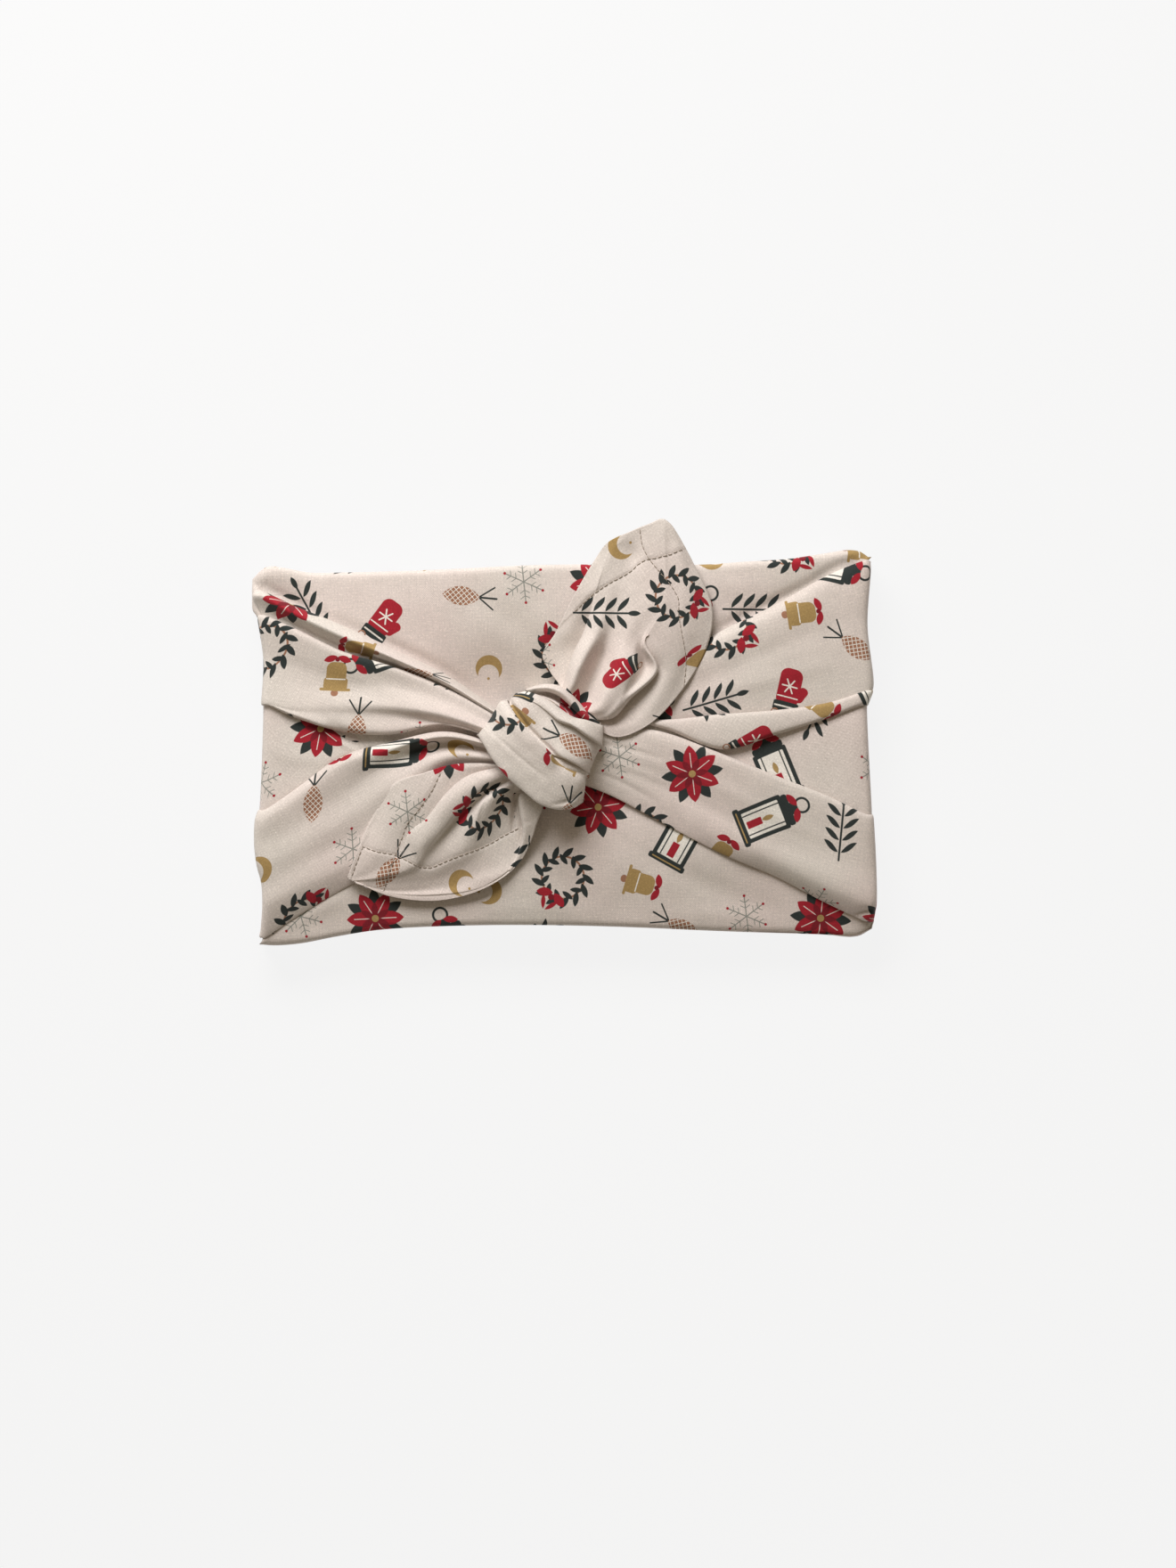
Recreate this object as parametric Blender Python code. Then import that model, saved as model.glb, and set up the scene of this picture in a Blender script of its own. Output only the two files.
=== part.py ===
"""A furoshiki wrap: one hemmed square of cotton folded round a flat parcel and tied once.

Blender 4.5, metres, +Z up. The parcel lies flat on its back, front upward, with the origin
under the middle of its outline. X runs along the long side, Y along the short side.
The cloth is one piece, so it is one solid: the folded body, a gathered band drawn in from
each end, the knot that ties them and the two cloth corners left free.
The tables are in millimetres; "rise" is the height above the front of the folded body.
"""

import math
from collections import namedtuple

import bmesh
import bpy
from mathutils import Vector

MM = 0.001
NAME = "furoshiki_cloth"
CLOTH_COLOR = (0.70, 0.60, 0.53, 1.0)

HALF_LENGTH = 160.0      # half of the parcel's long side
HALF_WIDTH = 97.0        # half of its short side
FRONT_Z = 28.0           # height of the folded front above the table
PILLOW = 1.5             # how much the front swells in the middle
TOP_ROUND = 4.5          # rounding between the walls and the front
FOOT_ROUND = 1.5         # rounding between the walls and the back
WALL_SHEET = 1.0         # the bands cover the end walls by this much
CORE_Z = 12.0            # the folds are filled down to this height
CORNER_SHEET = 2.2       # thickness of the two free corners
STEPS = 3                # points made between two measured ones

Fold = namedtuple("Fold", "name y rise")
Line = namedtuple("Line", "name root near low middle high shoulder tip")

# ---------------------------------------------------------------- outline of the body
# The four edges bow a little, and the corners are the ears that the folding leaves.
TOP_EDGE = ((-159.5, 78.5), (-156.5, 82), (-151.5, 85), (-144.5, 84.5), (-131, 82), (-113.5, 82),
            (-74.5, 83), (-6.5, 86), (71, 86), (93, 87.5), (116.5, 89), (134, 91.5), (148, 93.5),
            (154.5, 92.5), (158, 90))
BOTTOM_EDGE = ((-159, -108.5), (-152, -109), (-138.5, -108), (-120, -104.5), (-97.5, -101),
               (-61, -99), (-15.5, -98.5), (30, -99.5), (89, -102), (134.5, -103.5),
               (152, -104.5), (160, -100.5))
LEFT_EDGE = ((-108.5, -159), (-92.5, -156.5), (-81, -156), (-68, -158.5), (-51.5, -160),
             (-44.5, -159), (-30.5, -157), (-8, -156.5), (15, -156), (53.5, -156), (62.5, -159),
             (75, -160.5))
RIGHT_EDGE = ((-104.5, 158), (-97, 160), (-70, 160.5), (-46.5, 159), (-26, 158.5), (-3.5, 157.5),
              (15, 156.5), (25, 160), (35.5, 159.5), (50.5, 156.5), (60.5, 156), (74, 157),
              (90, 158))

# ---------------------------------------------------------------- left band
# A fan of folds from the left end wall to the knot, listed from its upper edge down.
LEFT_X = (-154.5, -138.5, -113.5, -88.5, -61, -37.5, -20)
LEFT_BAND = (
    Fold("roll_contour", (72.5, 65, 55, 43, 29, 11, 0), (1.2, 1.2, 1.5, 2.5, 4, 6, 7)),
    Fold("roll_crest", (70, 61.5, 51, 40, 26.5, 9, -1.5), (3.5, 4, 4.5, 5, 6, 8, 8)),
    Fold("roll_valley", (61, 55, 42.5, 35.5, 24, 7, -3.5), (1.5, 1.5, 2, 3.5, 5, 7, 8)),
    Fold("flap_edge", (60, 53.5, 41.5, 34, 23, 6, -4.5), (3, 3.5, 4, 5, 6, 8, 8)),
    Fold("flap_middle", (37.5, 33, 26, 23, 15.5, 3.5, -6), (2.5, 3, 4, 5, 7, 8, 9)),
    Fold("pleat_crest", (15.5, 12.5, 13, 13, 7.5, -0.5, -8), (3.5, 4.5, 6, 7.5, 9, 9, 9)),
    Fold("pleat_edge", (14, 8, 0.5, -2.5, 3, -3.5, -9.5), (2.5, 3.5, 4, 3.5, 5, 7, 8)),
    Fold("recess_top", (13, 7, -0.5, -3, 2, -4.5, -10), (0.8, 0.8, 1.2, 3, 4.5, 7, 8)),
    Fold("recess_low", (-37.5, -27.5, -10.5, -3.5, 1, -5, -11), (0.8, 0.8, 1.5, 3, 5, 7, 8)),
    Fold("lobe_contour", (-39.5, -29.5, -12, -4.5, -0.5, -6, -12), (3.5, 4, 5, 6, 8, 9, 9)),
    Fold("lobe_crest", (-44.5, -34.5, -17, -8.5, -3, -7.5, -13), (5, 5.5, 6.5, 8, 9.5, 9.5, 9)),
    Fold("lobe_valley", (-55.5, -48, -32, -18, -6.5, -10, -15), (3, 3.5, 4.5, 6, 7, 7, 8)),
    Fold("lobe_ridge", (-67, -59.5, -45.5, -30.5, -12.5, -13, -17), (2.5, 3, 4, 5, 7.5, 8, 8)),
    Fold("low_valley", (-77, -70.5, -58, -44.5, -21.5, -18, -19.5), (2, 2.5, 3, 4, 5.5, 6, 7)),
    Fold("low_ridge", (-88, -81, -69.5, -55.5, -36, -26, -23.5), (2, 2.5, 3, 3.5, 4.5, 5, 6)),
    Fold("lobe_edge", (-105, -95, -80, -66, -51, -37.5, -28.5), (1.5, 1.8, 2, 2, 2.5, 3.5, 5)),
)

# ---------------------------------------------------------------- right band
RIGHT_X = (154.5, 134.5, 107.5, 80, 50.5, 23, 2.5)
RIGHT_BAND = (
    Fold("upper_contour", (88, 80.5, 65.5, 52, 35, 15.5, 5.5), (1.2, 1.2, 1.2, 1.5, 2, 3, 5)),
    Fold("upper_crest", (84.5, 76, 61, 48, 31, 13, 3.5), (2.5, 2.5, 2.5, 3, 3.5, 5, 7)),
    Fold("upper_middle", (55.5, 49, 40, 30.5, 20, 8, -0.5), (2, 2, 2.5, 3, 4, 6, 7)),
    Fold("upper_low", (24, 17.5, 13, 10.5, 8.5, 5, -3), (1.8, 1.8, 2.2, 3, 4, 6, 7)),
    Fold("strip_contour", (22.5, 16, 11.5, 9.5, 7, 3.5, -4), (3.8, 3.8, 4.2, 4.6, 5.5, 6.5, 7)),
    Fold("strip_low", (14, 8, 0, -8.5, 2.5, 1.5, -5), (3.3, 3.3, 3.3, 3.3, 5, 6.5, 7)),
    Fold("recess_top", (13, 7, -1.5, -10, 1, 0.5, -6), (0.8, 0.8, 1, 2.5, 4.5, 6, 7)),
    Fold("recess_low", (-41, -31.5, -21, -11.5, -0.5, -0.5, -7), (0.8, 0.8, 1, 2, 4.5, 6, 7)),
    Fold("lower_contour", (-42.5, -33, -22.5, -13, -2, -2, -8), (3.2, 3.2, 3.6, 4.5, 6, 7, 7)),
    Fold("lower_crest", (-46.5, -37.5, -26.5, -17, -6, -5.5, -10.5), (3.4, 3.4, 4, 5, 6.5, 7, 8)),
    Fold("lower_middle", (-69.5, -58, -46.5, -35.5, -22.5, -15, -16), (2.5, 2.5, 3, 4, 5.5, 7, 8)),
    Fold("lower_ridge", (-87.5, -78.5, -65, -53.5, -37.5, -23, -20.5), (2.5, 2.5, 3, 3.5, 4.5, 6, 7)),
    Fold("lower_edge", (-97, -88.5, -74.5, -62, -46.5, -34, -26), (1.5, 1.5, 1.5, 1.8, 2.2, 3, 5)),
)

# ---------------------------------------------------------------- knot
# Each strap: sections along it, each with (x, y, rise) at its left edge, two folds and right edge.
Section = namedtuple("Section", "name edge fold_1 fold_2 far_edge")
FRONT_STRAP = (
    Section("end", (-43.5, -0.5, 10), (-40.5, 5.5, 12), (-37, 11.5, 13), (-31.5, 17, 12)),
    Section("top", (-39.5, -8.5, 14), (-35, -2.5, 20), (-30.5, 5, 22), (-27, 12, 19)),
    Section("upper", (-33.5, -16.5, 15), (-27.5, -10, 23), (-21, -2, 26), (-18, 1, 25)),
    Section("middle", (-24.5, -26.5, 15), (-17.5, -18, 24), (-12.5, -11.5, 28), (-9, -9, 27)),
    Section("lower", (-15, -35, 13), (-9.5, -27, 22), (-3.5, -20.5, 25), (0, -19.5, 23)),
    Section("bottom", (-6.5, -39.5, 10), (-1, -34, 17), (4, -27, 20), (6, -20.5, 20)),
    Section("bottom_end", (3.5, -39, 5), (7.5, -35, 9), (10.5, -29, 12), (11.5, -21.5, 13)),
)
BACK_STRAP = (
    Section("end", (-27, 16.5, 11), (-26, 15, 14), (-25, 13, 16), (-23.5, 10, 16)),
    Section("left", (-21.5, 21, 12), (-20.5, 16.5, 20), (-19, 10, 22), (-15.5, -1.5, 21)),
    Section("upper", (-14, 19.5, 16), (-14, 14, 23), (-12.5, 6.5, 25), (-8.5, -9, 24)),
    Section("middle", (-5, 13.5, 19), (-6, 9, 25), (-5, 1, 27), (-1, -11.5, 25)),
    Section("lower", (6.5, 8, 17), (4.5, 3, 23), (5.5, -4.5, 26), (6.5, -16, 22)),
    Section("right", (15.5, 4.5, 15), (14, -2.5, 19), (13, -9, 20), (12, -20, 17)),
    Section("right_end", (19.5, 2.5, 12), (19.5, -7, 13), (17.5, -10.5, 13), (13.5, -19, 12)),
)
TOP_LOOP = (
    Section("end", (-22.5, 19.5, 6), (-21.5, 19, 8), (-20.5, 18.5, 9), (-19.5, 17.5, 8)),
    Section("left", (-19.5, 22.5, 8), (-18.5, 21.5, 11), (-17, 20, 13), (-16.5, 17, 10)),
    Section("upper", (-13.5, 24, 10), (-13, 23, 14), (-12.5, 22, 16), (-12.5, 18, 14)),
    Section("crown", (-7, 24.5, 11), (-6.5, 23.5, 15), (-6.5, 21.5, 18), (-7, 17, 15)),
    Section("middle", (1.5, 20.5, 11), (1, 19.5, 15), (0, 17.5, 18), (-2, 13, 15)),
    Section("lower", (7.5, 15, 11), (7, 14, 15), (6, 12.5, 18), (3.5, 8.5, 15)),
    Section("right", (13, 9, 10), (12, 8, 14), (10.5, 7, 16), (8, 4, 14)),
    Section("right_end", (19.5, 4.5, 8), (18.5, 3.5, 11), (17, 2.5, 12), (14, 0, 11)),
)
KNOT_CORE = dict(center=(-11, -8, 30), radii=(26, 23, 20))

# ---------------------------------------------------------------- the two free corners
# Fold lines from the knot out to the cloth's corner, each point (x, y, rise).
UPPER_CORNER = (
    Line("edge_a", (-7.5, 15.5, 5), (-3, 24.5, 6), (-12, 38.5, 3), (-1.5, 56.5, 4), (7.5, 73, 6),
         (17.5, 91, 7), (47.5, 108.5, 7)),
    Line("valley_a", (-5.5, 15, 5), (-1.5, 24, 5), (2, 34, 4), (8, 49, 4.5), (15.5, 63, 6),
         (25.5, 81, 8), (48.5, 108.7, 7.5)),
    Line("fold_a", (-4, 15, 7), (-0.5, 23.5, 9), (2.5, 34, 9), (9, 48, 8), (17, 62, 7.5),
         (27.5, 80.5, 8.5), (49.5, 108.8, 8)),
    Line("ridge_a", (-1, 14, 9), (5, 21, 14), (9.5, 32, 14), (16, 45.5, 12.5), (24, 58, 10.5),
         (33.5, 78.5, 9.5), (50.5, 108.8, 8)),
    Line("valley_b", (3.5, 11.5, 8), (10.5, 15.5, 9), (17.5, 32, 8), (23, 41.5, 8.5), (31.5, 55.5, 9),
         (40, 76.5, 9.5), (51.5, 108.6, 8)),
    Line("ridge_b", (8, 9, 9), (16, 11.5, 15), (24.5, 26.5, 15), (30.5, 39, 13.5), (38, 52, 11),
         (46, 75, 9.5), (52.5, 108.4, 8)),
    Line("step_b", (12, 6.5, 9), (22.5, 5.5, 11), (29.5, 16.5, 12), (33.5, 32, 10.5),
         (41.5, 47.5, 10), (50.5, 72, 9.5), (53.5, 108, 8)),
    Line("pocket", (13, 5, 6), (24, 4.5, 6), (33.5, 17.5, 5.5), (40, 34.5, 5), (46.5, 45.5, 9),
         (55, 69.5, 9.5), (54.5, 107.6, 8)),
    Line("lip", (14.5, 4, 6), (26.5, 2.5, 6.5), (40, 18.5, 7), (47.5, 34, 10.5), (53, 46.5, 11),
         (60, 67.5, 10), (55.3, 107.2, 8)),
    Line("flap", (16, 2, 6), (28.5, 0, 6.5), (47.5, 14, 8), (58, 35.5, 10), (64.5, 50, 10),
         (68, 69.5, 9), (56, 106.6, 8)),
    Line("edge_b", (17.5, 0, 5), (30, -3, 5.5), (50.5, 10, 6.5), (68, 33.5, 6.5), (76.5, 53, 6),
         (73.5, 69.5, 6), (57, 106, 7)),
)
LOWER_CORNER = (
    Line("edge_a", (-27.5, -17.5, 9), (-47.5, -15, 11), (-67, -19, 10), (-85, -24, 8),
         (-99, -43, 6.5), (-106.5, -60.5, 5.5), (-110, -73.5, 5)),
    Line("valley_a", (-25.5, -19.5, 9), (-43, -19.5, 10), (-59, -26, 9), (-71, -40.5, 7.5),
         (-79, -55.5, 6), (-88.5, -67, 5.5), (-109.5, -74, 5)),
    Line("ridge_a", (-23, -20.5, 10), (-39, -21, 13), (-54, -31.5, 13.5), (-64.5, -46.5, 12),
         (-73, -61, 9.5), (-85.5, -71, 7), (-108.5, -75, 5)),
    Line("valley_b", (-21, -23, 9), (-33.5, -25.5, 9), (-44.5, -40.5, 8.5), (-55.5, -55.5, 8),
         (-68, -68, 7), (-83, -74.5, 6), (-108.5, -75.5, 5)),
    Line("ridge_b", (-18.5, -25.5, 9), (-29, -28.5, 12), (-38, -44, 10.5), (-48.5, -61.5, 8.5),
         (-64.5, -74, 7), (-81, -77.5, 6), (-108, -76, 5)),
    Line("valley_c", (-17, -27, 8), (-25, -31, 8), (-28, -47.5, 5), (-39.5, -66, 5),
         (-61, -79, 5.5), (-79, -80.5, 5.5), (-107.5, -76, 5)),
    Line("flap_c", (-14.5, -30, 8), (-20, -35.5, 9.5), (-22, -53, 7.5), (-35.5, -72, 6),
         (-62.5, -82.5, 5), (-81.5, -82.5, 5), (-107.5, -76.2, 5)),
    Line("edge_b", (-12, -32.5, 7), (-14, -41.5, 8.5), (-17.5, -57, 6), (-33, -75, 4.5),
         (-63.5, -85.5, 4), (-84.5, -84, 4), (-107, -76.5, 4.5)),
)


def lookup(table, key):
    """Value of an outline table at a position, by straight interpolation."""
    if key <= table[0][0]:
        return table[0][1]
    for (a, va), (b, vb) in zip(table, table[1:]):
        if key <= b:
            return va + (vb - va) * (key - a) / (b - a)
    return table[-1][1]


def smooth(points, steps):
    """Points along a curve that passes through the given ones (centripetal Catmull-Rom)."""
    ends = [points[0] * 2 - points[1]] + list(points) + [points[-1] * 2 - points[-2]]
    out = []
    for p0, p1, p2, p3 in zip(ends, ends[1:], ends[2:], ends[3:]):
        a, b, c = (max((q - p).length, 0.01) ** 0.5 for p, q in ((p0, p1), (p1, p2), (p2, p3)))
        for s in range(steps):
            t = b * s / steps
            l1 = p0 * (-t / a) + p1 * ((t + a) / a)
            l2 = p1 * ((b - t) / b) + p2 * (t / b)
            l3 = p2 * ((b + c - t) / c) + p3 * ((t - b) / c)
            m1 = l1 * ((b - t) / (a + b)) + l2 * ((t + a) / (a + b))
            m2 = l2 * ((b + c - t) / (b + c)) + l3 * (t / (b + c))
            out.append(m1 * ((b - t) / b) + m2 * (t / b))
    out.append(points[-1].copy())
    return out


def grid_faces(bm, rows):
    """A sheet of quads through a grid of vertices."""
    for a, b in zip(rows, rows[1:]):
        for i in range(len(a) - 1):
            bm.faces.new((a[i], b[i], b[i + 1], a[i + 1]))


def to_object(name, bm, collection):
    bmesh.ops.recalc_face_normals(bm, faces=bm.faces)
    mesh = bpy.data.meshes.new(name)
    bm.to_mesh(mesh)
    bm.free()
    obj = bpy.data.objects.new(name, mesh)
    collection.objects.link(obj)
    return obj


def filled(name, outer, inner, collection):
    """Closed solid between two grids of points with the same rows and columns."""
    bm = bmesh.new()
    top = [[bm.verts.new(p * MM) for p in row] for row in outer]
    low = [[bm.verts.new(p * MM) for p in row] for row in inner]
    grid_faces(bm, top)
    grid_faces(bm, low)
    rim_top = top[0] + [r[-1] for r in top[1:]] + top[-1][-2::-1] + [r[0] for r in top[-2:0:-1]]
    rim_low = low[0] + [r[-1] for r in low[1:]] + low[-1][-2::-1] + [r[0] for r in low[-2:0:-1]]
    for i in range(len(rim_top)):
        j = (i + 1) % len(rim_top)
        bm.faces.new((rim_top[i], rim_top[j], rim_low[j], rim_low[i]))
    return to_object(name, bm, collection)


def front_height(x, y):
    """Height of the folded front, which swells a little between its edges."""
    u, v = min(1.0, abs(x) / HALF_LENGTH), min(1.0, abs(y + 8) / HALF_WIDTH)
    return FRONT_Z + PILLOW * (1 - u ** 4) * (1 - v ** 4)


def body_point(u, v):
    """Point of the outline's span: u from the left edge to the right, v from low to high."""
    x0 = -HALF_LENGTH + 2 * HALF_LENGTH * u
    y0 = -105 + 195 * v
    left = lookup(LEFT_EDGE, y0) + WALL_SHEET
    right = lookup(RIGHT_EDGE, y0) - WALL_SHEET
    low, high = lookup(BOTTOM_EDGE, x0), lookup(TOP_EDGE, x0)
    return left + (right - left) * u, low + (high - low) * v


def inset(x, y, amount):
    return x * (1 - amount / HALF_LENGTH), y * (1 - amount / HALF_WIDTH)


def make_body(collection, across=26, deep=16):
    """The folded body: flat back, upright walls, rounded edges, swelling front."""
    loop = [(i / across, 0.0) for i in range(across)]
    loop += [(1.0, j / deep) for j in range(deep)]
    loop += [(1 - i / across, 1.0) for i in range(across)]
    loop += [(0.0, 1 - j / deep) for j in range(deep)]
    bm = bmesh.new()
    rings = []
    profile = ((FOOT_ROUND, 0.0), (0.0, FOOT_ROUND), (0.0, FRONT_Z - TOP_ROUND),
               (TOP_ROUND * 0.3, FRONT_Z - TOP_ROUND * 0.3))
    for amount, z in profile:
        ring = []
        for u, v in loop:
            x, y = inset(*body_point(u, v), amount)
            ring.append(bm.verts.new(Vector((x, y, z)) * MM))
        rings.append(ring)
    grid = []
    for j in range(deep + 1):
        row = []
        for i in range(across + 1):
            x, y = inset(*body_point(i / across, j / deep), TOP_ROUND)
            row.append(bm.verts.new(Vector((x, y, front_height(x, y))) * MM))
        grid.append(row)
    grid_faces(bm, grid)
    edge = grid[0][:-1] + [r[-1] for r in grid[:-1]] + grid[-1][:0:-1] + [r[0] for r in grid[:0:-1]]
    rings.append(edge)
    for a, b in zip(rings, rings[1:]):
        for i in range(len(a)):
            j = (i + 1) % len(a)
            bm.faces.new((a[i], a[j], b[j], b[i]))
    bm.faces.new(rings[0])
    return to_object(NAME, bm, collection)


def make_band(name, folds, stations, edge, side, collection):
    """A gathered band: over the front from the knot, round the end and down its wall."""
    outer = []
    for fold in folds:
        wall_x = lookup(edge, fold.y[0])
        front = [Vector((x, y, front_height(x, y) + r))
                 for x, y, r in zip(stations, fold.y, fold.rise)]
        front[0].x = wall_x - side * 4.0
        path = smooth(front[::-1], STEPS)
        y0, r0 = fold.y[0], fold.rise[0]
        bulge = side * 0.25 * (r0 - 2.0)
        path += [Vector((wall_x - side * 1.2, y0, FRONT_Z + r0 * 0.75 - 1.0)),
                 Vector((wall_x + bulge, y0, FRONT_Z - 3.5)),
                 Vector((wall_x + bulge * 0.3, y0, 13.0)),
                 Vector((wall_x, y0, FOOT_ROUND)),
                 Vector((wall_x - side * FOOT_ROUND, y0, -2.0))]
        outer.append(path)
    outer = [list(c) for c in zip(*(smooth(list(s), 2) for s in zip(*outer)))]
    inner = []
    for path in outer:
        core = [Vector((p.x, p.y, CORE_Z)) for p in path[:-5]]
        core[-1].x -= side * 4.0
        core += [Vector((core[-1].x + side * i * 0.5, path[-1].y, z))
                 for i, z in enumerate((11.0, 9.0, 6.0, 2.0, -2.0), 1)]
        inner.append(core)
    return filled(name, outer, inner, collection)


def make_strap(name, sections, collection):
    """One turn of the knot, filled down into the folds under it."""
    cols = []
    for section in sections:
        points = [Vector((x, y, front_height(x, y) + r)) for x, y, r in section[1:]]
        cols.append(smooth(points, 2))
    outer = [smooth(list(line), STEPS) for line in zip(*cols)]
    inner = [[Vector((p.x, p.y, CORE_Z + 2)) for p in row] for row in outer]
    return filled(name, outer, inner, collection)


def make_corner(name, lines, collection):
    """A free corner of the cloth: a thin sheet that follows its fold lines."""
    rows = []
    for line in lines:
        points = [Vector((x, y, FRONT_Z + PILLOW + r)) for x, y, r in line[1:]]
        rows.append(smooth(points, STEPS))
    outer = [smooth(list(c), 2) for c in zip(*rows)]
    inner = [[p - Vector((0, 0, CORNER_SHEET)) for p in row] for row in outer]
    return filled(name, outer, inner, collection)


def make_core(collection):
    """The tightly drawn middle of the knot."""
    bpy.ops.mesh.primitive_uv_sphere_add(segments=24, ring_count=12, radius=MM,
                                         location=Vector(KNOT_CORE["center"]) * MM)
    obj = bpy.context.object
    obj.name = "knot_core"
    obj.scale = KNOT_CORE["radii"]
    for owner in list(obj.users_collection):
        owner.objects.unlink(obj)
    collection.objects.link(obj)
    return obj


def make_floor(collection):
    """Everything under the resting plane is cut away flat."""
    bpy.ops.mesh.primitive_cube_add(size=1.0, location=(0, 0, -0.01))
    obj = bpy.context.object
    obj.name = "table_cut"
    obj.scale = (0.5, 0.4, 0.02)
    for owner in list(obj.users_collection):
        owner.objects.unlink(obj)
    collection.objects.link(obj)
    return obj


def cloth_material():
    mat = bpy.data.materials.new("printed_cotton")
    mat.use_nodes = True
    shader = mat.node_tree.nodes["Principled BSDF"]
    shader.inputs["Base Color"].default_value = CLOTH_COLOR
    shader.inputs["Roughness"].default_value = 0.85
    shader.inputs["Metallic"].default_value = 0.0
    return mat


def main():
    for obj in list(bpy.data.objects):
        bpy.data.objects.remove(obj, do_unlink=True)
    scene = bpy.context.scene
    parts = bpy.data.collections.new("Furoshiki wrap")
    cutters = bpy.data.collections.new("Folds joined to the body")
    scene.collection.children.link(parts)
    scene.collection.children.link(cutters)

    cloth = make_body(parts)
    cloth.data.materials.append(cloth_material())
    joined = [
        make_band("left_band", LEFT_BAND, LEFT_X, LEFT_EDGE, -1, cutters),
        make_band("right_band", RIGHT_BAND, RIGHT_X, RIGHT_EDGE, 1, cutters),
        make_core(cutters),
        make_strap("top_loop", TOP_LOOP, cutters),
        make_strap("back_strap", BACK_STRAP, cutters),
        make_strap("front_strap", FRONT_STRAP, cutters),
        make_corner("upper_corner", UPPER_CORNER, cutters),
        make_corner("lower_corner", LOWER_CORNER, cutters),
    ]
    floor = make_floor(cutters)
    for piece in joined + [floor]:
        piece.hide_render = True
        piece.display_type = "WIRE"
        step = cloth.modifiers.new(piece.name, "BOOLEAN")
        step.operation = "DIFFERENCE" if piece is floor else "UNION"
        step.solver = "EXACT"
        step.object = piece


main()
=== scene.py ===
# %% [markdown]
# # A furoshiki wrap, tied once
# A furoshiki is one square of hemmed cotton. Two of its corners are folded flat over the
# parcel, and the other two are gathered, tied once in the middle and left free. The packed
# solid gives every fold its place and size. It is loaded first and nothing in it is moved:
# thin sheets of printed cotton are built on it, one for each visible run of the cloth.

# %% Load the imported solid
import math
from collections import namedtuple

import bpy
import numpy as np
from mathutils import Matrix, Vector


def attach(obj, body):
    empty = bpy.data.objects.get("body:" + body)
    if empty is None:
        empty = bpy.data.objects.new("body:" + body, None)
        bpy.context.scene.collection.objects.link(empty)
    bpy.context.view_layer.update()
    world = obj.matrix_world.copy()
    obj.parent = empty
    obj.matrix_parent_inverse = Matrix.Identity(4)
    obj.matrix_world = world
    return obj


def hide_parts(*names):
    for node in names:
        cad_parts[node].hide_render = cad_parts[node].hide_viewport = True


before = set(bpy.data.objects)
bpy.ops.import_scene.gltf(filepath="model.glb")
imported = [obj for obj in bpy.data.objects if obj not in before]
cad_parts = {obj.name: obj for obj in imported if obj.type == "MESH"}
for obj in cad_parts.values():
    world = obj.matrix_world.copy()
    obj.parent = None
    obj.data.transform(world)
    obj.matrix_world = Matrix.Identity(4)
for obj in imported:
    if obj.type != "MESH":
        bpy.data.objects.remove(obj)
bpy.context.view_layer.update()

MM = 0.001

# %% [markdown]
# ## The camera, the light and the table
# The photograph looks straight down. A long lens two metres up keeps the sides nearly unseen.
# One large soft lamp stands low beyond the upper edge, a little to the left, so near that the
# cloth at the bottom right gets visibly less of it. A faint warm room fills the shadows,
# because on the real cloth they are warmer than its lit side: light bounces between the folds.

# %% Camera
FRONT_Z = 28.0           # height of the folded front above the table, mm
PHOTO_SPAN = 0.8008      # metres of the front that the picture's long side covers
CAMERA_UP = 2.0          # metres from the front to the lens
PICTURE_MIDDLE = (0.0118, -0.0262)       # where the lens points on the front, metres
SENSOR = 36.0            # the sensor's long side, mm

camera_data = bpy.data.cameras.new("overhead_camera")
camera_data.sensor_width = SENSOR
camera_data.lens = SENSOR * CAMERA_UP / PHOTO_SPAN
camera = bpy.data.objects.new("overhead_camera", camera_data)
camera.location = (*PICTURE_MIDDLE, FRONT_Z * MM + CAMERA_UP)
bpy.context.scene.collection.objects.link(camera)
bpy.context.scene.camera = camera
print("lens, mm:", round(camera_data.lens, 1))

# %% One function for colours and one for nodes
def linear(hex_colour):
    """sRGB hex, such as "a01f2e", as linear RGBA."""
    parts = [int(hex_colour[i:i + 2], 16) / 255 for i in (0, 2, 4)]
    return tuple(c / 12.92 if c <= 0.04045 else ((c + 0.055) / 1.055) ** 2.4
                 for c in parts) + (1.0,)


def add(tree, kind, *values, out=0, **settings):
    """Adds a node and returns one output. Values fill its inputs in order; an output links.
    A kind in capitals is an operation of the Math node, or of Vector Math after a V_."""
    if kind.startswith("V_"):
        out = 1 if kind in ("V_LENGTH", "V_DISTANCE") else out
        settings["operation"], kind = kind[2:], "ShaderNodeVectorMath"
    elif kind.isupper():
        settings["operation"], kind = kind, "ShaderNodeMath"
    node = tree.nodes.new(kind)
    for key, value in settings.items():
        setattr(node, key, value)
    for socket, value in zip(node.inputs, values):
        if isinstance(value, bpy.types.NodeSocket):
            tree.links.new(value, socket)
        elif value is not None:
            socket.default_value = value
    return node.outputs[out]


print("a mid grey in linear light:", round(linear("808080")[0], 3))

# %% Table
FLOOR = -0.0004          # metres; just under the cloth, so that the two faces never fight
TABLE_REACH = 3.0        # metres from the middle to each side
BOARD_GLOW = 0.93

# Matt white board: its own glow keeps it one even pale tone, as an evenly lit sweep is.
board = bpy.data.materials.new("matt_white_board")
board.use_nodes = True
board_shader = board.node_tree.nodes["Principled BSDF"]
board_shader.inputs["Base Color"].default_value = linear("404040")
board_shader.inputs["Roughness"].default_value = 0.9
board_shader.inputs["Emission Color"].default_value = linear("f7f7f7")
board_shader.inputs["Emission Strength"].default_value = BOARD_GLOW

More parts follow.
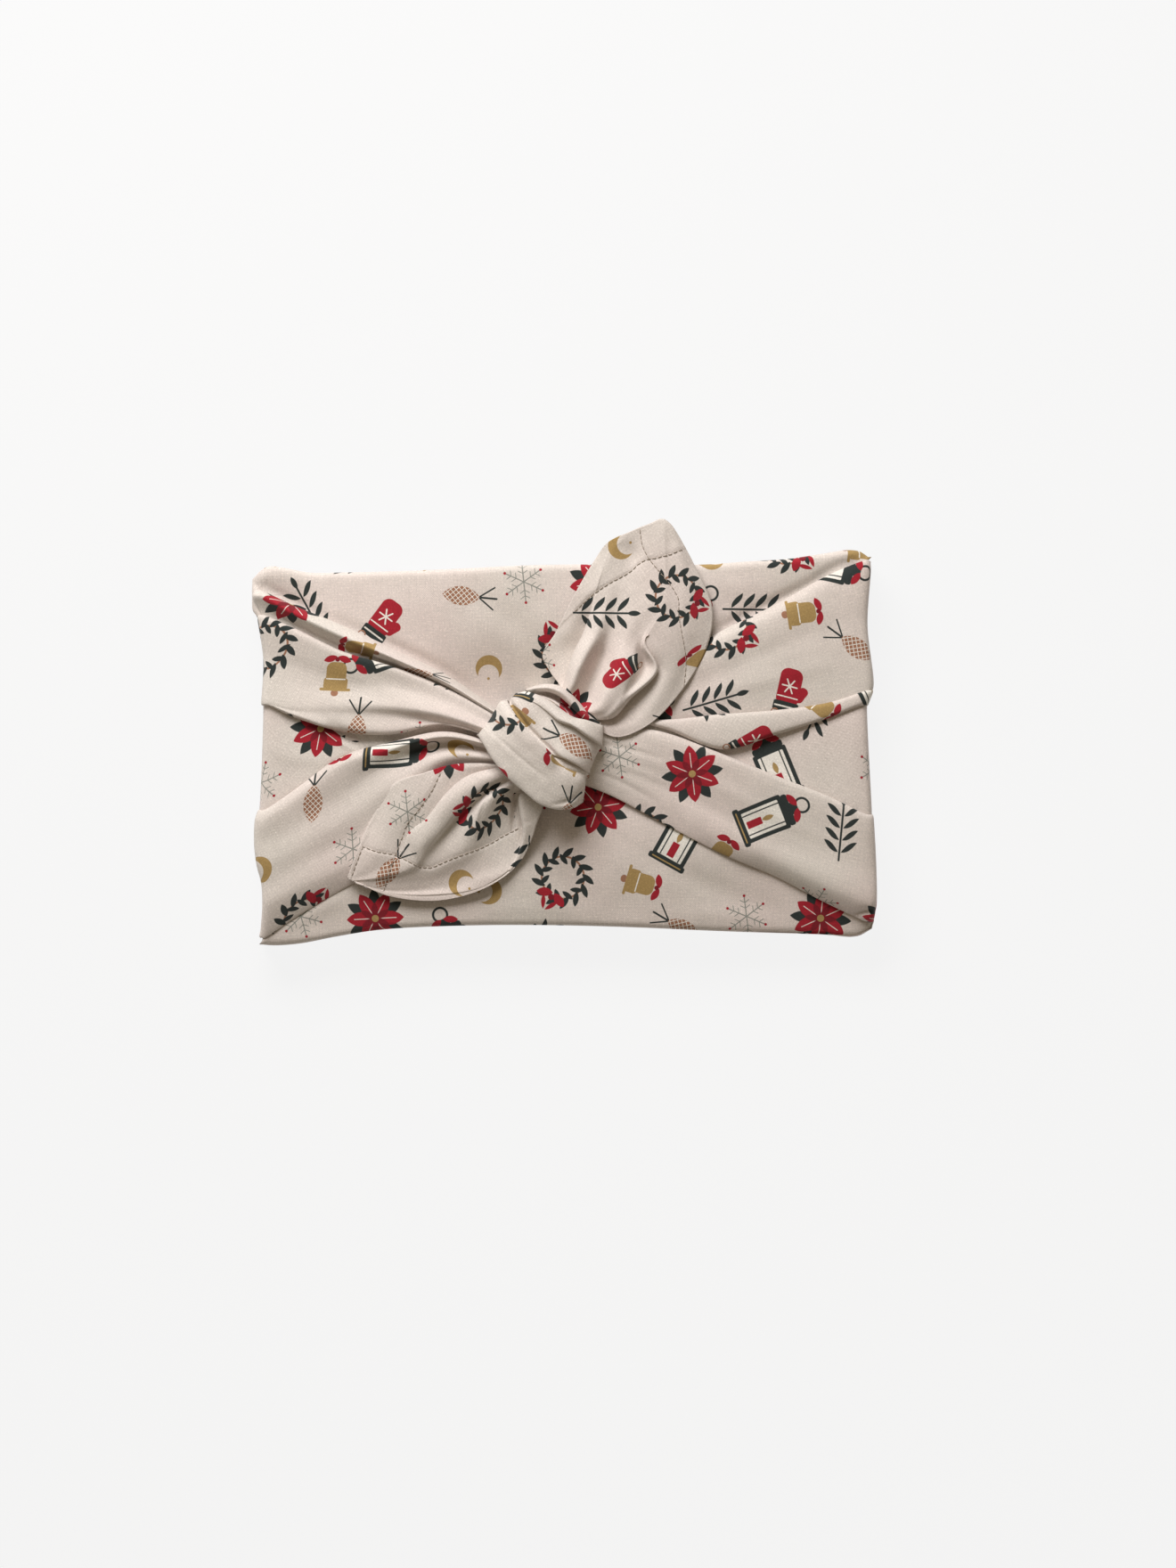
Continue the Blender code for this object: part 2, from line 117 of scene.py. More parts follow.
table_mesh = bpy.data.meshes.new("pale_table")
table_mesh.from_pydata([(x * TABLE_REACH, y * TABLE_REACH, FLOOR)
                        for x, y in ((-1, -1), (1, -1), (1, 1), (-1, 1))], [], [(0, 1, 2, 3)])
table_mesh.materials.append(board)
table = bpy.data.objects.new("pale_table", table_mesh)
bpy.context.scene.collection.objects.link(table)
print("table, metres across:", 2 * TABLE_REACH)

# %% Lamp and room
LAMP_PLACE, LAMP_AIM = Vector((-0.34, 0.96, 0.86)), Vector((0.0, 0.0, 0.02))     # metres
LAMP_SIZE = (0.9, 0.6)   # metres
LAMP_POWER = 20.5        # watts
ROOM_GLOW = 0.20

lamp_data = bpy.data.lights.new("window_lamp", "AREA")
lamp_data.shape = "RECTANGLE"
lamp_data.size, lamp_data.size_y = LAMP_SIZE
lamp_data.energy, lamp_data.color = LAMP_POWER, linear("fffcfb")[:3]
lamp = bpy.data.objects.new("window_lamp", lamp_data)
lamp.location = LAMP_PLACE
lamp.rotation_euler = (LAMP_AIM - LAMP_PLACE).to_track_quat("-Z", "Y").to_euler()
bpy.context.scene.collection.objects.link(lamp)
room = bpy.data.worlds.new("warm_room")
room.use_nodes = True
room.node_tree.nodes["Background"].inputs["Color"].default_value = linear("fff0d4")
room.node_tree.nodes["Background"].inputs["Strength"].default_value = ROOM_GLOW
bpy.context.scene.world = room
bpy.context.scene.view_settings.view_transform = "Standard"
print("lamp, metres from what it lights:", round((LAMP_AIM - LAMP_PLACE).length, 2))

# %% [markdown]
# ## Cloth as a net of creases
# Folded cloth is a set of crease lines with smooth cloth between them, so each sheet starts
# as a short table: a row for each crease, with its place at a few stations. A smooth curve
# is run along every crease and then across all of them. Where one layer lies over another,
# hidden rows carry the cloth back under the upper layer, so each overlap has real depth.
# The flat place of every point is kept too: it is the cloth's own map, on which the print
# and the weave keep their size however the cloth is folded.

# %% Smooth curves through a net
def smooth(grid, steps):
    """Centripetal Catmull-Rom along the first axis; steps[i] points are made in span i."""
    ends = np.concatenate((2 * grid[:1] - grid[1:2], grid, 2 * grid[-1:] - grid[-2:-1]))
    out = []
    for i, count in enumerate(steps):
        p0, p1, p2, p3 = ends[i:i + 4]
        a, b, c = (np.maximum(np.linalg.norm(q - p, axis=-1, keepdims=True), 0.02) ** 0.5
                   for p, q in ((p0, p1), (p1, p2), (p2, p3)))
        for s in range(count):
            t = b * s / count
            l1 = p0 * (-t / a) + p1 * ((t + a) / a)
            l2 = p1 * ((b - t) / b) + p2 * (t / b)
            l3 = p2 * ((b + c - t) / c) + p3 * ((t - b) / c)
            m1 = l1 * ((b - t) / (a + b)) + l2 * ((t + a) / (a + b))
            m2 = l2 * ((b + c - t) / (b + c)) + l3 * (t / (b + c))
            out.append(m1 * ((b - t) / b) + m2 * (t / b))
    out.append(grid[-1])
    return np.array(out)


def spans(grid, pitch, least=1):
    """How many points each span along the first axis gets, so that they lie a pitch apart."""
    length = np.linalg.norm(np.diff(grid, axis=0), axis=-1)
    length = 0.5 * (length.mean(axis=1) + length.max(axis=1))
    return [max(least, round(float(d) / pitch)) for d in length]


def refined(net, along, across):
    """Smooths a net along its rows and then across them, to points that many mm apart.
    Returns it with the number of points in each span, along and across."""
    columns = net.transpose(1, 0, 2)
    along = spans(columns, along)
    net = smooth(columns, along).transpose(1, 0, 2)
    across = spans(net, across, least=2)
    return smooth(net, across), along, across


# %% The flat map
STEEPEST = 2.5           # a slope counts as this many times its plan length at most


def flat_map(net):
    """Unrolls a net across its rows, so that slopes keep their true length on the flat."""
    step = np.diff(net, axis=0)
    plan = np.linalg.norm(step[..., :2], axis=-1)
    real = np.linalg.norm(step, axis=-1)
    stretch = np.clip(real / np.maximum(plan, 1e-4), 1.0, STEEPEST)[..., None]
    flat = np.concatenate((net[:1, :, :2], step[..., :2] * stretch))
    return np.cumsum(flat, axis=0)


slope = np.array([[[0, 0, 0]], [[3, 0, 4]]], float)
print("a slope 3 mm long in plan and 4 mm high is", flat_map(slope)[-1, 0, 0], "mm on the flat")

# %% From a net to a sheet of cloth
Print = namedtuple("Print", "turn x y")     # how the print lies on one panel: degrees, mm, mm
CLOTH, HEMMED = 0.5, 0.8                    # mm; a little over the real 0.4, so that edges show
pieces = {}


def finish_cloth(name, points, faces, corners_flat, thickness):
    """Makes the object: smooth faces, the flat map as a UV map, and a real thickness inwards."""
    mesh = bpy.data.meshes.new(name)
    mesh.from_pydata((np.asarray(points) * MM).tolist(), [], faces)
    mesh.polygons.foreach_set("use_smooth", [True] * len(faces))
    mesh.uv_layers.new(name="cloth").data.foreach_set("uv", (np.asarray(corners_flat) * MM).ravel())
    mesh.update()
    obj = bpy.data.objects.new(name, mesh)
    bpy.context.scene.collection.objects.link(obj)
    solid = obj.modifiers.new("cloth_thickness", "SOLIDIFY")
    solid.thickness, solid.offset = thickness * MM, -1.0
    pieces[name] = obj
    area = sum(p.area for p in mesh.polygons)
    print(f"{name}: {len(faces)} faces, {area * 1e4:.0f} square cm of cloth")
    return obj


def turned(flat, lay):
    a = math.radians(lay.turn)
    x, y = flat[..., 0], flat[..., 1]
    return np.stack((x * math.cos(a) - y * math.sin(a) + lay.x,
                     x * math.sin(a) + y * math.cos(a) + lay.y), axis=-1)


def cloth_from_net(name, net, flat, lays, thickness=CLOTH):
    """lays gives, for each strip between two rows of the net, how the print lies on it."""
    rows, cols = net.shape[:2]
    index = np.arange(rows * cols).reshape(rows, cols)
    quads = np.stack((index[:-1, :-1], index[1:, :-1], index[1:, 1:], index[:-1, 1:]), axis=-1)
    different = list(dict.fromkeys(lays))
    corner = np.stack([turned(flat, lay) for lay in different])
    which = [different.index(lay) for lay in lays]
    uv = np.empty(quads.shape + (2,))
    for r, w in enumerate(which):
        uv[r, :, 0], uv[r, :, 1] = corner[w, r, :-1], corner[w, r + 1, :-1]
        uv[r, :, 2], uv[r, :, 3] = corner[w, r + 1, 1:], corner[w, r, 1:]
    across = np.cross(net[1:, :-1] - net[:-1, :-1], net[:-1, 1:] - net[:-1, :-1])
    if across[..., 2].sum() < 0:
        quads, uv = quads[:, :, ::-1], uv[:, :, ::-1]
    return finish_cloth(name, net.reshape(-1, 3), quads.reshape(-1, 4).tolist(),
                        uv.reshape(-1, 2), thickness)


print("sheets are", CLOTH, "mm thick, and", HEMMED, "mm at the free corners")

# %% [markdown]
# ## Creases placed one by one
# Between the main folds the cotton is never quite flat: it is pulled towards the knot and
# keeps soft troughs where it was handled. Each one is a short line with a height and a
# width. A few long slow waves, fixed by a seed, stand for the slackness of the cloth.

# %% Soft creases and slack
Crease = namedtuple("Crease", "line rise width")   # points (x, y), height, half-width, all mm


def creased(points, creases):
    """Height that the creases add at each point, fading out at both ends of every line."""
    lift = np.zeros(points.shape[:-1])
    xy = points[..., :2]
    for crease in creases:
        line = np.array(crease.line, float)
        line = smooth(line[:, None, :], [6] * (len(line) - 1))[:, 0]
        lengths = np.concatenate(([0], np.cumsum(np.linalg.norm(np.diff(line, axis=0), axis=1))))
        best = np.full(lift.shape, 1e9)
        along = np.zeros(lift.shape)
        for (p, q, start) in zip(line, line[1:], lengths):
            d = q - p
            t = np.clip(((xy - p) @ d) / max(d @ d, 1e-9), 0, 1)
            gap = np.linalg.norm(xy - (p + t[..., None] * d), axis=-1)
            closer = gap < best
            best = np.where(closer, gap, best)
            along = np.where(closer, (start + t * np.linalg.norm(d)) / lengths[-1], along)
        fade = np.clip(np.sin(np.pi * np.clip(along, 0.02, 0.98)), 0, 1) ** 0.7
        lift += crease.rise * fade * np.exp(-(best / crease.width) ** 2)
    return lift


WAVES, WAVES_ADD_UP = 14, 2.6            # how many waves, and what they usually add up to


def slack(points, size, seed, longest=60.0, shortest=14.0):
    """Slow uneven waves of about the given height, and of lengths in mm between the two."""
    rng = np.random.default_rng(seed)
    lift = np.zeros(points.shape[:-1])
    for _ in range(WAVES):
        wave = rng.uniform(shortest, longest)
        angle, phase = rng.uniform(0, math.pi), rng.uniform(0, 6.28)
        run = points[..., 0] * math.cos(angle) + points[..., 1] * math.sin(angle)
        lift += np.sin(run * 2 * math.pi / wave + phase) * wave / longest
    return lift * size / WAVES_ADD_UP


flat_square = np.stack(np.meshgrid(np.arange(0.0, 200, 4), np.arange(0.0, 200, 4)), axis=-1)
print("slack of 1 mm really spreads, mm:", round(float(slack(flat_square, 1.0, 1).std()), 2))

# %% [markdown]
# ## The folded body
# Under the bands the cloth is wrapped flat round the parcel. It has a flat back, four walls
# and a front that swells a little. The outline bows between four small ears at the corners,
# where the folded layers are thickest. It is built as rings from the front's edge down to
# the back, because a wrapped box turns its edges everywhere with the same small radius.

# %% Outline of the body
HALF_LENGTH, HALF_WIDTH = 160.0, 97.0
TOP_EDGE = ((-159.5, 78.5), (-156.5, 82), (-151.5, 85), (-144.5, 84.5), (-131, 82), (-113.5, 82),
            (-74.5, 83), (-6.5, 86), (71, 86), (93, 87.5), (116.5, 89), (134, 91.5), (148, 93.5),
            (154.5, 92.5), (158, 90))
BOTTOM_EDGE = ((-159, -108.5), (-152, -109), (-138.5, -108), (-120, -104.5), (-97.5, -101),
               (-61, -99), (-15.5, -98.5), (30, -99.5), (89, -102), (134.5, -103.5),
               (152, -104.5), (160, -100.5))
LEFT_EDGE = ((-108.5, -159), (-92.5, -156.5), (-81, -156), (-68, -158.5), (-51.5, -160),
             (-44.5, -159), (-30.5, -157), (-8, -156.5), (15, -156), (53.5, -156), (62.5, -159),
             (75, -160.5))
RIGHT_EDGE = ((-104.5, 158), (-97, 160), (-70, 160.5), (-46.5, 159), (-26, 158.5), (-3.5, 157.5),
              (15, 156.5), (25, 160), (35.5, 159.5), (50.5, 156.5), (60.5, 156), (74, 157),
              (90, 158))


def edge_line(table):
    """A smooth lookup through an outline table."""
    fine = smooth(np.array(table, float)[:, None, :], [5] * (len(table) - 1))[:, 0]
    keep = np.concatenate(([True], np.diff(np.maximum.accumulate(fine[:, 0])) > 1e-6))
    return lambda key: np.interp(key, fine[keep, 0], fine[keep, 1])


top_edge, bottom_edge = edge_line(TOP_EDGE), edge_line(BOTTOM_EDGE)
left_edge, right_edge = edge_line(LEFT_EDGE), edge_line(RIGHT_EDGE)
print("length across the middle, mm:", round(float(right_edge(0) - left_edge(0)), 1))

# %% Height of the flat front
SWELL = 1.5                              # mm that the front swells in its middle
LOWER_DIP, RIGHT_DIP, KNOT_DIP = 5.0, 3.2, 14.0      # mm: low edge, lower right, at the knot
SPAN_Y, SPAN_LOW = 195.0, -105.0         # the outline's length across, and where it starts, mm
UNDER_BAND, CLEAR = 2.4, 0.4             # mm the ends stay back under a band, and elsewhere


def ramp(value, start, end):
    """0 before the start and 1 past the end, with a soft S between them."""
    t = np.clip((value - start) / (end - start), 0, 1)
    return t * t * (3 - 2 * t)


def front_height(x, y):
    """Height of the wrapped front, which swells a little between its edges."""
    u, v = np.minimum(1, np.abs(x) / HALF_LENGTH), np.minimum(1, np.abs(y + 8) / HALF_WIDTH)
    return FRONT_Z + SWELL * (1 - u ** 4) * (1 - v ** 4)


def base_height(x, y):
    """The flat front where no band holds it up: it dips to the bands and to the lower edge."""
    low_side = LOWER_DIP * ramp(-y, 50, 112)
    right_side = RIGHT_DIP * ramp(x, 50, 110) * ramp(-y, -90, -62)
    round_knot = np.exp(-(((x + 22) / 60) ** 2 + ((y - 16) / 29) ** 2))
    at_knot = KNOT_DIP * round_knot * ramp(y, -40, 0)
    return front_height(x, y) - low_side - right_side - at_knot


def body_point(u, v):
    """Point of the outline's span; the ends stay back where a band lies over them."""
    x0, y0 = -HALF_LENGTH + 2 * HALF_LENGTH * u, SPAN_LOW + SPAN_Y * v
    left_in = CLEAR + UNDER_BAND * ramp(y0, 74, 69) * ramp(y0, -107, -103)
    right_in = CLEAR + UNDER_BAND * ramp(y0, 91, 88) * ramp(y0, -101, -97)
    left, right = left_edge(y0) + left_in, right_edge(y0) - right_in
    low, high = bottom_edge(x0), top_edge(x0)
    return left + (right - left) * u, low + (high - low) * v


print("front height at the knot, mm:", round(float(base_height(-22.0, 16.0)), 1))

# %% Creases of the flat front
BODY_CREASES = (
    Crease(((-180, 88), (-161, 77), (-149, 71.6), (-139, 67), (-118, 57)), -2.4, 2.6),
    Crease(((-172, 74), (-156, 81), (-143, 80.4), (-122, 72)), 1.4, 4.5),
    Crease(((-122, 59.5), (-113.5, 56.2), (-88.5, 45), (-61, 31.6), (-42, 18.5)), -1.8, 2.6),
    Crease(((162, 92), (150, 88.4), (140.8, 85.3), (123.5, 75.4), (107.5, 67.2), (80, 53.6),
            (56, 40.5)), -1.8, 2.6),
    Crease(((174, 94), (158, 92.4), (144, 90.4), (128, 86)), 0.9, 2.2),
    Crease(((-60, 76), (-30, 60), (-12, 40)), -0.7, 7),
    Crease(((60, 80), (90, 74), (120, 76)), 0.7, 6),
    Crease(((-150, -104), (-130, -92), (-112, -84)), 0.9, 4),
    Crease(((20, -50), (60, -72), (110, -92)), -0.9, 6),
    Crease(((-20, -60), (-10, -80), (5, -94)), 0.7, 7),
    Crease(((40, -92), (80, -94), (120, -98)), 0.6, 5),
    Crease(((-60, -92), (-20, -90), (20, -93)), 0.5, 5),
)
print(len(BODY_CREASES), "soft creases on the front")

# %% Front, back and the rings between them
TOP_ROUND, FOOT_ROUND = 3.6, 2.0         # radius at the front's edge and at the back's, mm
TOP_TURN, FOOT_TURN = (25, 50, 75, 90), (0, 45)      # degrees of those roundings with a ring
WALL_RINGS = (19.0, 15.0, 11.0, 7.5, 4.5)            # heights of the rings on the walls, mm
WALL_HOLLOW, WALL_FULL = 0.006, 24       # share that the walls are drawn in, over this height
ACROSS, DEEP = 170, 102                  # faces along and across the front


def on_table(x, y):
    return 0.0 * x


def body_grid(across, deep, inset, height):
    u, v = np.meshgrid(np.linspace(0, 1, across + 1), np.linspace(0, 1, deep + 1))
    x, y = body_point(u, v)
    x, y = x * (1 - inset / HALF_LENGTH), y * (1 - inset / HALF_WIDTH)
    return np.stack((x, y, height(x, y)), axis=-1)


def rim_of(grid):
    return np.concatenate((grid[0, :-1], grid[:-1, -1], grid[-1, :0:-1], grid[:0:-1, 0]))


def build_body():
    front = body_grid(ACROSS, DEEP, TOP_ROUND, base_height)
    front[..., 2] += creased(front, BODY_CREASES) + slack(front, 0.35, 3)
    back = body_grid(ACROSS, DEEP, FOOT_ROUND, on_table)
    outline = rim_of(body_grid(ACROSS, DEEP, 0.0, on_table))
    rim, foot = rim_of(front), rim_of(back)
    rings = [rim]
    for angle in TOP_TURN:
        a = math.radians(angle)
        ring = outline + (rim - outline) * (1 - math.sin(a))
        ring[:, 2] = rim[:, 2] - TOP_ROUND * (1 - math.cos(a))
        rings.append(ring)
    for z in WALL_RINGS:
        ring = outline.copy()
        ring[:, 2] = z
        ring[:, :2] *= 1 - WALL_HOLLOW * math.sin(math.pi * z / WALL_FULL)
        rings.append(ring)
    for angle in FOOT_TURN:
        a = math.radians(angle)
        ring = outline + (foot - outline) * (1 - math.cos(a))
        ring[:, 2] = FOOT_ROUND * (1 - math.sin(a))
        rings.append(ring)
    rings.append(foot)
    return front, back, rings


front, back, rings = build_body()
print(len(rings), "rings of", len(rings[0]), "points")


# %% One closed skin for the body
def cloth_body(front, back, rings):
    """Joins front, rings and back; the print runs down the walls from the front's edge."""
    rows, cols = front.shape[:2]
    points = [front.reshape(-1, 3)] + [r for r in rings[1:-1]] + [back.reshape(-1, 3)]
    start = np.cumsum([0] + [len(p) for p in points])
    front_id = np.arange(rows * cols).reshape(rows, cols)
    back_id = front_id + start[-2]
    ring_ids = [rim_of(front_id)] + [np.arange(a, b) for a, b in zip(start[1:-2], start[2:-1])]
    ring_ids.append(rim_of(back_id))
    side = rings[2] - rings[0]
    side = side[:, :2] / np.maximum(np.linalg.norm(side[:, :2], axis=1, keepdims=True), 1e-6)
    down = np.zeros(len(rings[0]))
    ring_flat = [rings[0][:, :2]]
    for a, b in zip(rings, rings[1:]):
        down = down + np.linalg.norm(b - a, axis=1)
        ring_flat.append(rings[0][:, :2] + side * down[:, None])
    faces, uv = [], []

    def corners(a):
        return np.stack((a[:-1, :-1], a[:-1, 1:], a[1:, 1:], a[1:, :-1]), axis=2)

    def skin(ids, flats):
        faces.extend(corners(ids).reshape(-1, 4).tolist())
        uv.append(corners(flats).reshape(-1, 2))

    def closed(loops):
        return np.stack([np.concatenate((loop, loop[:1])) for loop in loops])

    skin(front_id, front[..., :2])
    skin(closed(ring_ids[::-1]), closed(ring_flat[::-1]))
    mirrored = back[..., :2] * (1, -1)
    skin(back_id[::-1], turned(mirrored, Print(12, 31, 17))[::-1])
    finish_cloth("cloth_body", np.concatenate(points), faces, np.concatenate(uv), CLOTH)


cloth_body(front, back, rings)

# %% [markdown]
# ## The two gathered bands
# Each side corner of the cloth is drawn over its end of the parcel and gathered towards the
# knot. A row is one crease: how far up the picture it lies at each station, and its height
# over the front. "lies" says how the cloth lies there: soft, or as an edge whose layer lies
# over the one above it ("over"), or over the one below it ("under"). Each layer has its own
# lay of the print, because a fold shows another part of the cloth, turned another way.

# %% Creases of the left band
Fold = namedtuple("Fold", "name y rise lies lap lay", defaults=("soft", 0, None))
LEFT_X = (-154.5, -138.5, -113.5, -88.5, -61, -37.5, -20)
LEFT_BAND = (
    Fold("roll_contour", (72.8, 65, 54.8, 43.2, 29.8, 13.8, 2), (0.9, 1.1, 1.2, 1, 1, 2.6, 6),
         lay=Print(-20, 11, 23)),
    Fold("roll_crest", (69.8, 61, 49.2, 38.4, 25.8, 11.4, 0.6), (5.2, 7, 8.6, 8.8, 8, 9, 8)),
    Fold("roll_slope", (65.5, 57.2, 45.4, 36, 24.3, 10.5, -0.2), (2.8, 3.2, 3.6, 4, 5.6, 8, 7)),
    Fold("roll_valley", (61.4, 55, 43, 35, 23.4, 10, -1), (0.8, 0.4, 0.3, 0.6, 3, 6.6, 7)),
    Fold("flap_edge", (60, 53.5, 41.5, 34, 22.9, 9.8, -2), (4.4, 5.8, 6.4, 6.2, 6, 8.2, 8),
         "over", (4, 4, 4, 3, 2, 0.9, -0.4), Print(24, 40, 8)),
    Fold("flap_middle", (37.5, 33, 26, 23, 15.5, 4.6, -5), (2.5, 3, 4, 5, 6.6, 8.6, 9)),
    Fold("pleat_crest", (15.6, 13, 13.4, 13.2, 8.4, 0.4, -8),
         (3.7, 4.9, 6.6, 8.8, 10.8, 11.4, 9)),
    Fold("pleat_valley", (14.9, 11, 9.5, 8.6, 4.6, -1.8, -9), (3.6, 4.8, 6, 6, 6.4, 8.5, 8)),
    Fold("pleat_edge", (14, 8, 0.5, -1, 4.2, -2.6, -9.5), (3.4, 5.2, 6.4, 6.4, 7, 9, 8),
         "under", (3, 4, 5, 4, 1.5, 0.8, 0.2), Print(-38, 5, 61)),
    Fold("recess_top", (12.8, 6.4, -1.2, -3.2, 2.4, -3.9, -10),
         (0.8, 0.6, 0.4, 0.4, 0.6, 1.2, 6)),
    Fold("recess_low", (-37.5, -27.5, -10.5, -4.4, 1.2, -4.6, -11),
         (0.8, 0.6, 0.6, 0.5, 0.6, 1.2, 6)),
    Fold("lobe_contour", (-39.5, -29.5, -12, -4.8, 0.6, -5.0, -12),
         (3.2, 3.8, 5.3, 7, 8.8, 9, 9), "over", (5, 5, 4, 3, 2, 1, 1), Print(64, 77, 34)),
    Fold("lobe_crest", (-44.5, -34.5, -16, -8.2, -2.2, -6.8, -13),
         (4.4, 5.3, 7.2, 9.2, 10.6, 10, 9)),
    Fold("lobe_valley", (-55.5, -48, -32, -15.5, -5.8, -9.2, -15),
         (3.3, 3.6, 4.5, 4.5, 3.2, 3, 5)),
    Fold("lobe_ridge", (-67, -59.5, -45.5, -28.5, -12.5, -13, -17),
         (3.5, 4.1, 5.1, 6.2, 7.6, 8, 8)),
    Fold("low_valley", (-77, -70.5, -58, -43.5, -20.5, -17.5, -19.5),
         (2.3, 2.7, 3.2, 3.5, 3.8, 4, 6)),
    Fold("low_ridge", (-88, -81, -69.5, -55.5, -36, -26, -23.5), (2.2, 2.8, 3.2, 3.5, 4.5, 5, 6)),
    Fold("lobe_edge", (-105, -95, -80, -66, -51, -37.5, -28.5), (0.6, 0.8, 1, 1.2, 1.6, 2.6, 4)),
)

# %% Creases of the right band
RIGHT_X = (154.5, 134.5, 107.5, 80, 50.5, 23, 2.5)
RIGHT_BAND = (
    Fold("upper_contour", (88, 80.5, 65.5, 52, 35, 18, 9), (0.8, 0.8, 0.8, 1, 1.4, 3, 5),
         lay=Print(-16, 20, 70)),
    Fold("upper_crest", (84.5, 76, 61, 48, 31, 15.5, 7.5), (2.5, 2.5, 2.5, 3, 3.5, 5, 7)),
    Fold("upper_middle", (55.5, 49, 40, 30.5, 20, 11.5, 6), (2, 2, 2.5, 3, 4, 6, 7)),
    Fold("upper_low", (23, 16.6, 12.6, 10.4, 8, 9, 5), (0.8, 0.8, 1, 1.6, 2.8, 5.6, 7)),
    Fold("strip_contour", (21.6, 15.4, 11.5, 9.5, 6.6, 8, 4.2), (2.9, 3.2, 4, 5, 5.4, 6.4, 7),
         "over", 4, Print(33, 51, 12)),
    Fold("strip_low", (14, 7.4, -1.2, -8.6, 1.8, 6.6, 3.4), (2.8, 3.2, 4.2, 5.4, 5.4, 6.2, 7),
         "under", 3, Print(-52, 9, 44)),
    Fold("recess_top", (13, 6.4, -2.4, -9.2, 1.2, 6, 2.8), (0.6, 0.5, 0.2, 0, 2, 5.4, 7)),
    Fold("recess_low", (-40.5, -31.2, -20.6, -9.9, 0.8, 5.2, 2.2), (0.6, 0.5, 0.2, 0, 2, 5.4, 7)),
    Fold("lower_contour", (-41.8, -32.4, -21.8, -10.6, 0.2, 4.4, 1.5),
         (2.8, 3, 3.8, 5.2, 5.6, 6.6, 7), "over", 5, Print(11, 63, 29)),
    Fold("lower_crest", (-46, -36.8, -26, -14.8, -4, 0, -3), (3.2, 3.4, 4.2, 5.8, 6.4, 7.2, 8)),
    Fold("lower_middle", (-69.5, -58, -46.5, -35.5, -22.5, -13, -12),
         (2.5, 2.5, 3, 3.8, 5, 6.6, 8)),
    Fold("lower_ridge", (-88.5, -79.5, -66, -54.5, -38.5, -24, -20.5),
         (2.4, 2.4, 2.8, 3.2, 4, 5, 7)),
    Fold("lower_edge", (-97, -87.6, -73.5, -61.8, -46.6, -32, -24),
         (0.8, 0.9, 1, 1.2, 1.6, 2.4, 4)),
)
print("left band:", ", ".join(fold.name for fold in LEFT_BAND))
print("right band:", ", ".join(fold.name for fold in RIGHT_BAND))

# %% Hidden rows where one layer lies over another
OVER = 1.3               # mm that the upper layer's rounded edge takes to reach its height
EDGE_RISE = 0.45         # how far up that rounding its edge stands, as a share
SINK = 0.8               # mm that the tucked cloth lies below the layer under it
LEAST = 0.3              # mm that it stays over the front, so that the faces never fight


def with_laps(lines, lies, laps, lays=()):
    """Adds the tucked cloth to lines of (x, y, rise); returns them and the lay of each."""
    rows, panel = [], []
    lays = lays or [None] * len(lines)
    for i, (line, how, lap, lay) in enumerate(zip(lines, lies, laps, lays)):
        if how == "soft":
            rows.append(line)
            panel.append(panel[-1] if panel else lay)
            continue
        under, shown = lines[i - 1], lines[i + 1]
        if how == "under":
            under, shown = shown, under
        way = shown[:, :2] - line[:, :2]
        room = np.linalg.norm(way, axis=1, keepdims=True)
        way = way / np.maximum(room, 1e-6)
        reach = np.minimum(np.broadcast_to(lap, len(line))[:, None], 0.6 * room + 0.1)
        high = line[:, 2:]
        # Where nothing is tucked, low is as high as the layer itself, so there is no step.
        low = high + np.clip(reach, 0, 1) * (under[:, 2:] - high)
        sunk = np.maximum(LEAST, low - SINK * np.clip(reach, 0, 1.5))
        hidden = np.hstack((line[:, :2] + way * reach, sunk))
        edge = np.hstack((line[:, :2], low + EDGE_RISE * (high - low)))
        crest = np.hstack((line[:, :2] + way * np.minimum(OVER, 0.4 * room), high))
        order = [hidden, edge, crest] if how == "over" else [crest, edge, hidden]
        rows += order
        panel += [lay] * 3 if how == "over" else [panel[-1], panel[-1], lay]
    return rows, panel


level = [np.array([[0.0, y, 3.0], [10.0, y, 3.0]]) for y in (20.0, 10.0, 0.0)]
print("an edge adds", len(with_laps(level, ["soft", "over", "soft"], [3] * 3)[0]) - 3, "rows")

# %% Down the wall at each end
def wall_points(y, top, rise, edge, side):
    """The same crease carried on over the end's edge, down its wall and under."""
    wall, rise = edge(y), max(rise, 0.0)
    fade = lambda share: wall + side * (-2.0 + share * rise)
    return [np.array(p) for p in (
        (fade(0.35) - side * 1.1, y, top - 0.15 * rise - 0.9),
        (fade(0.35), y, top - 0.5 * rise - 4.2),
        (fade(0.25), y, 15.0),
        (fade(0.15), y, 6.0),
        (fade(0.08), y, 1.8),
        (wall - side * 3.2, y, 0.35))]


print("points on the wall:", len(wall_points(0.0, 32.0, 4.0, left_edge, -1)))

# %% Build a band
EDGE_BACK = 4.5          # mm from the end's edge where the fold table stops and the wall starts
ROLLED_UNDER = 3.0       # mm of each outer edge that is rolled under, at most
BAND_PITCH = (1.4, 1.1)  # mm between points, along and across the creases


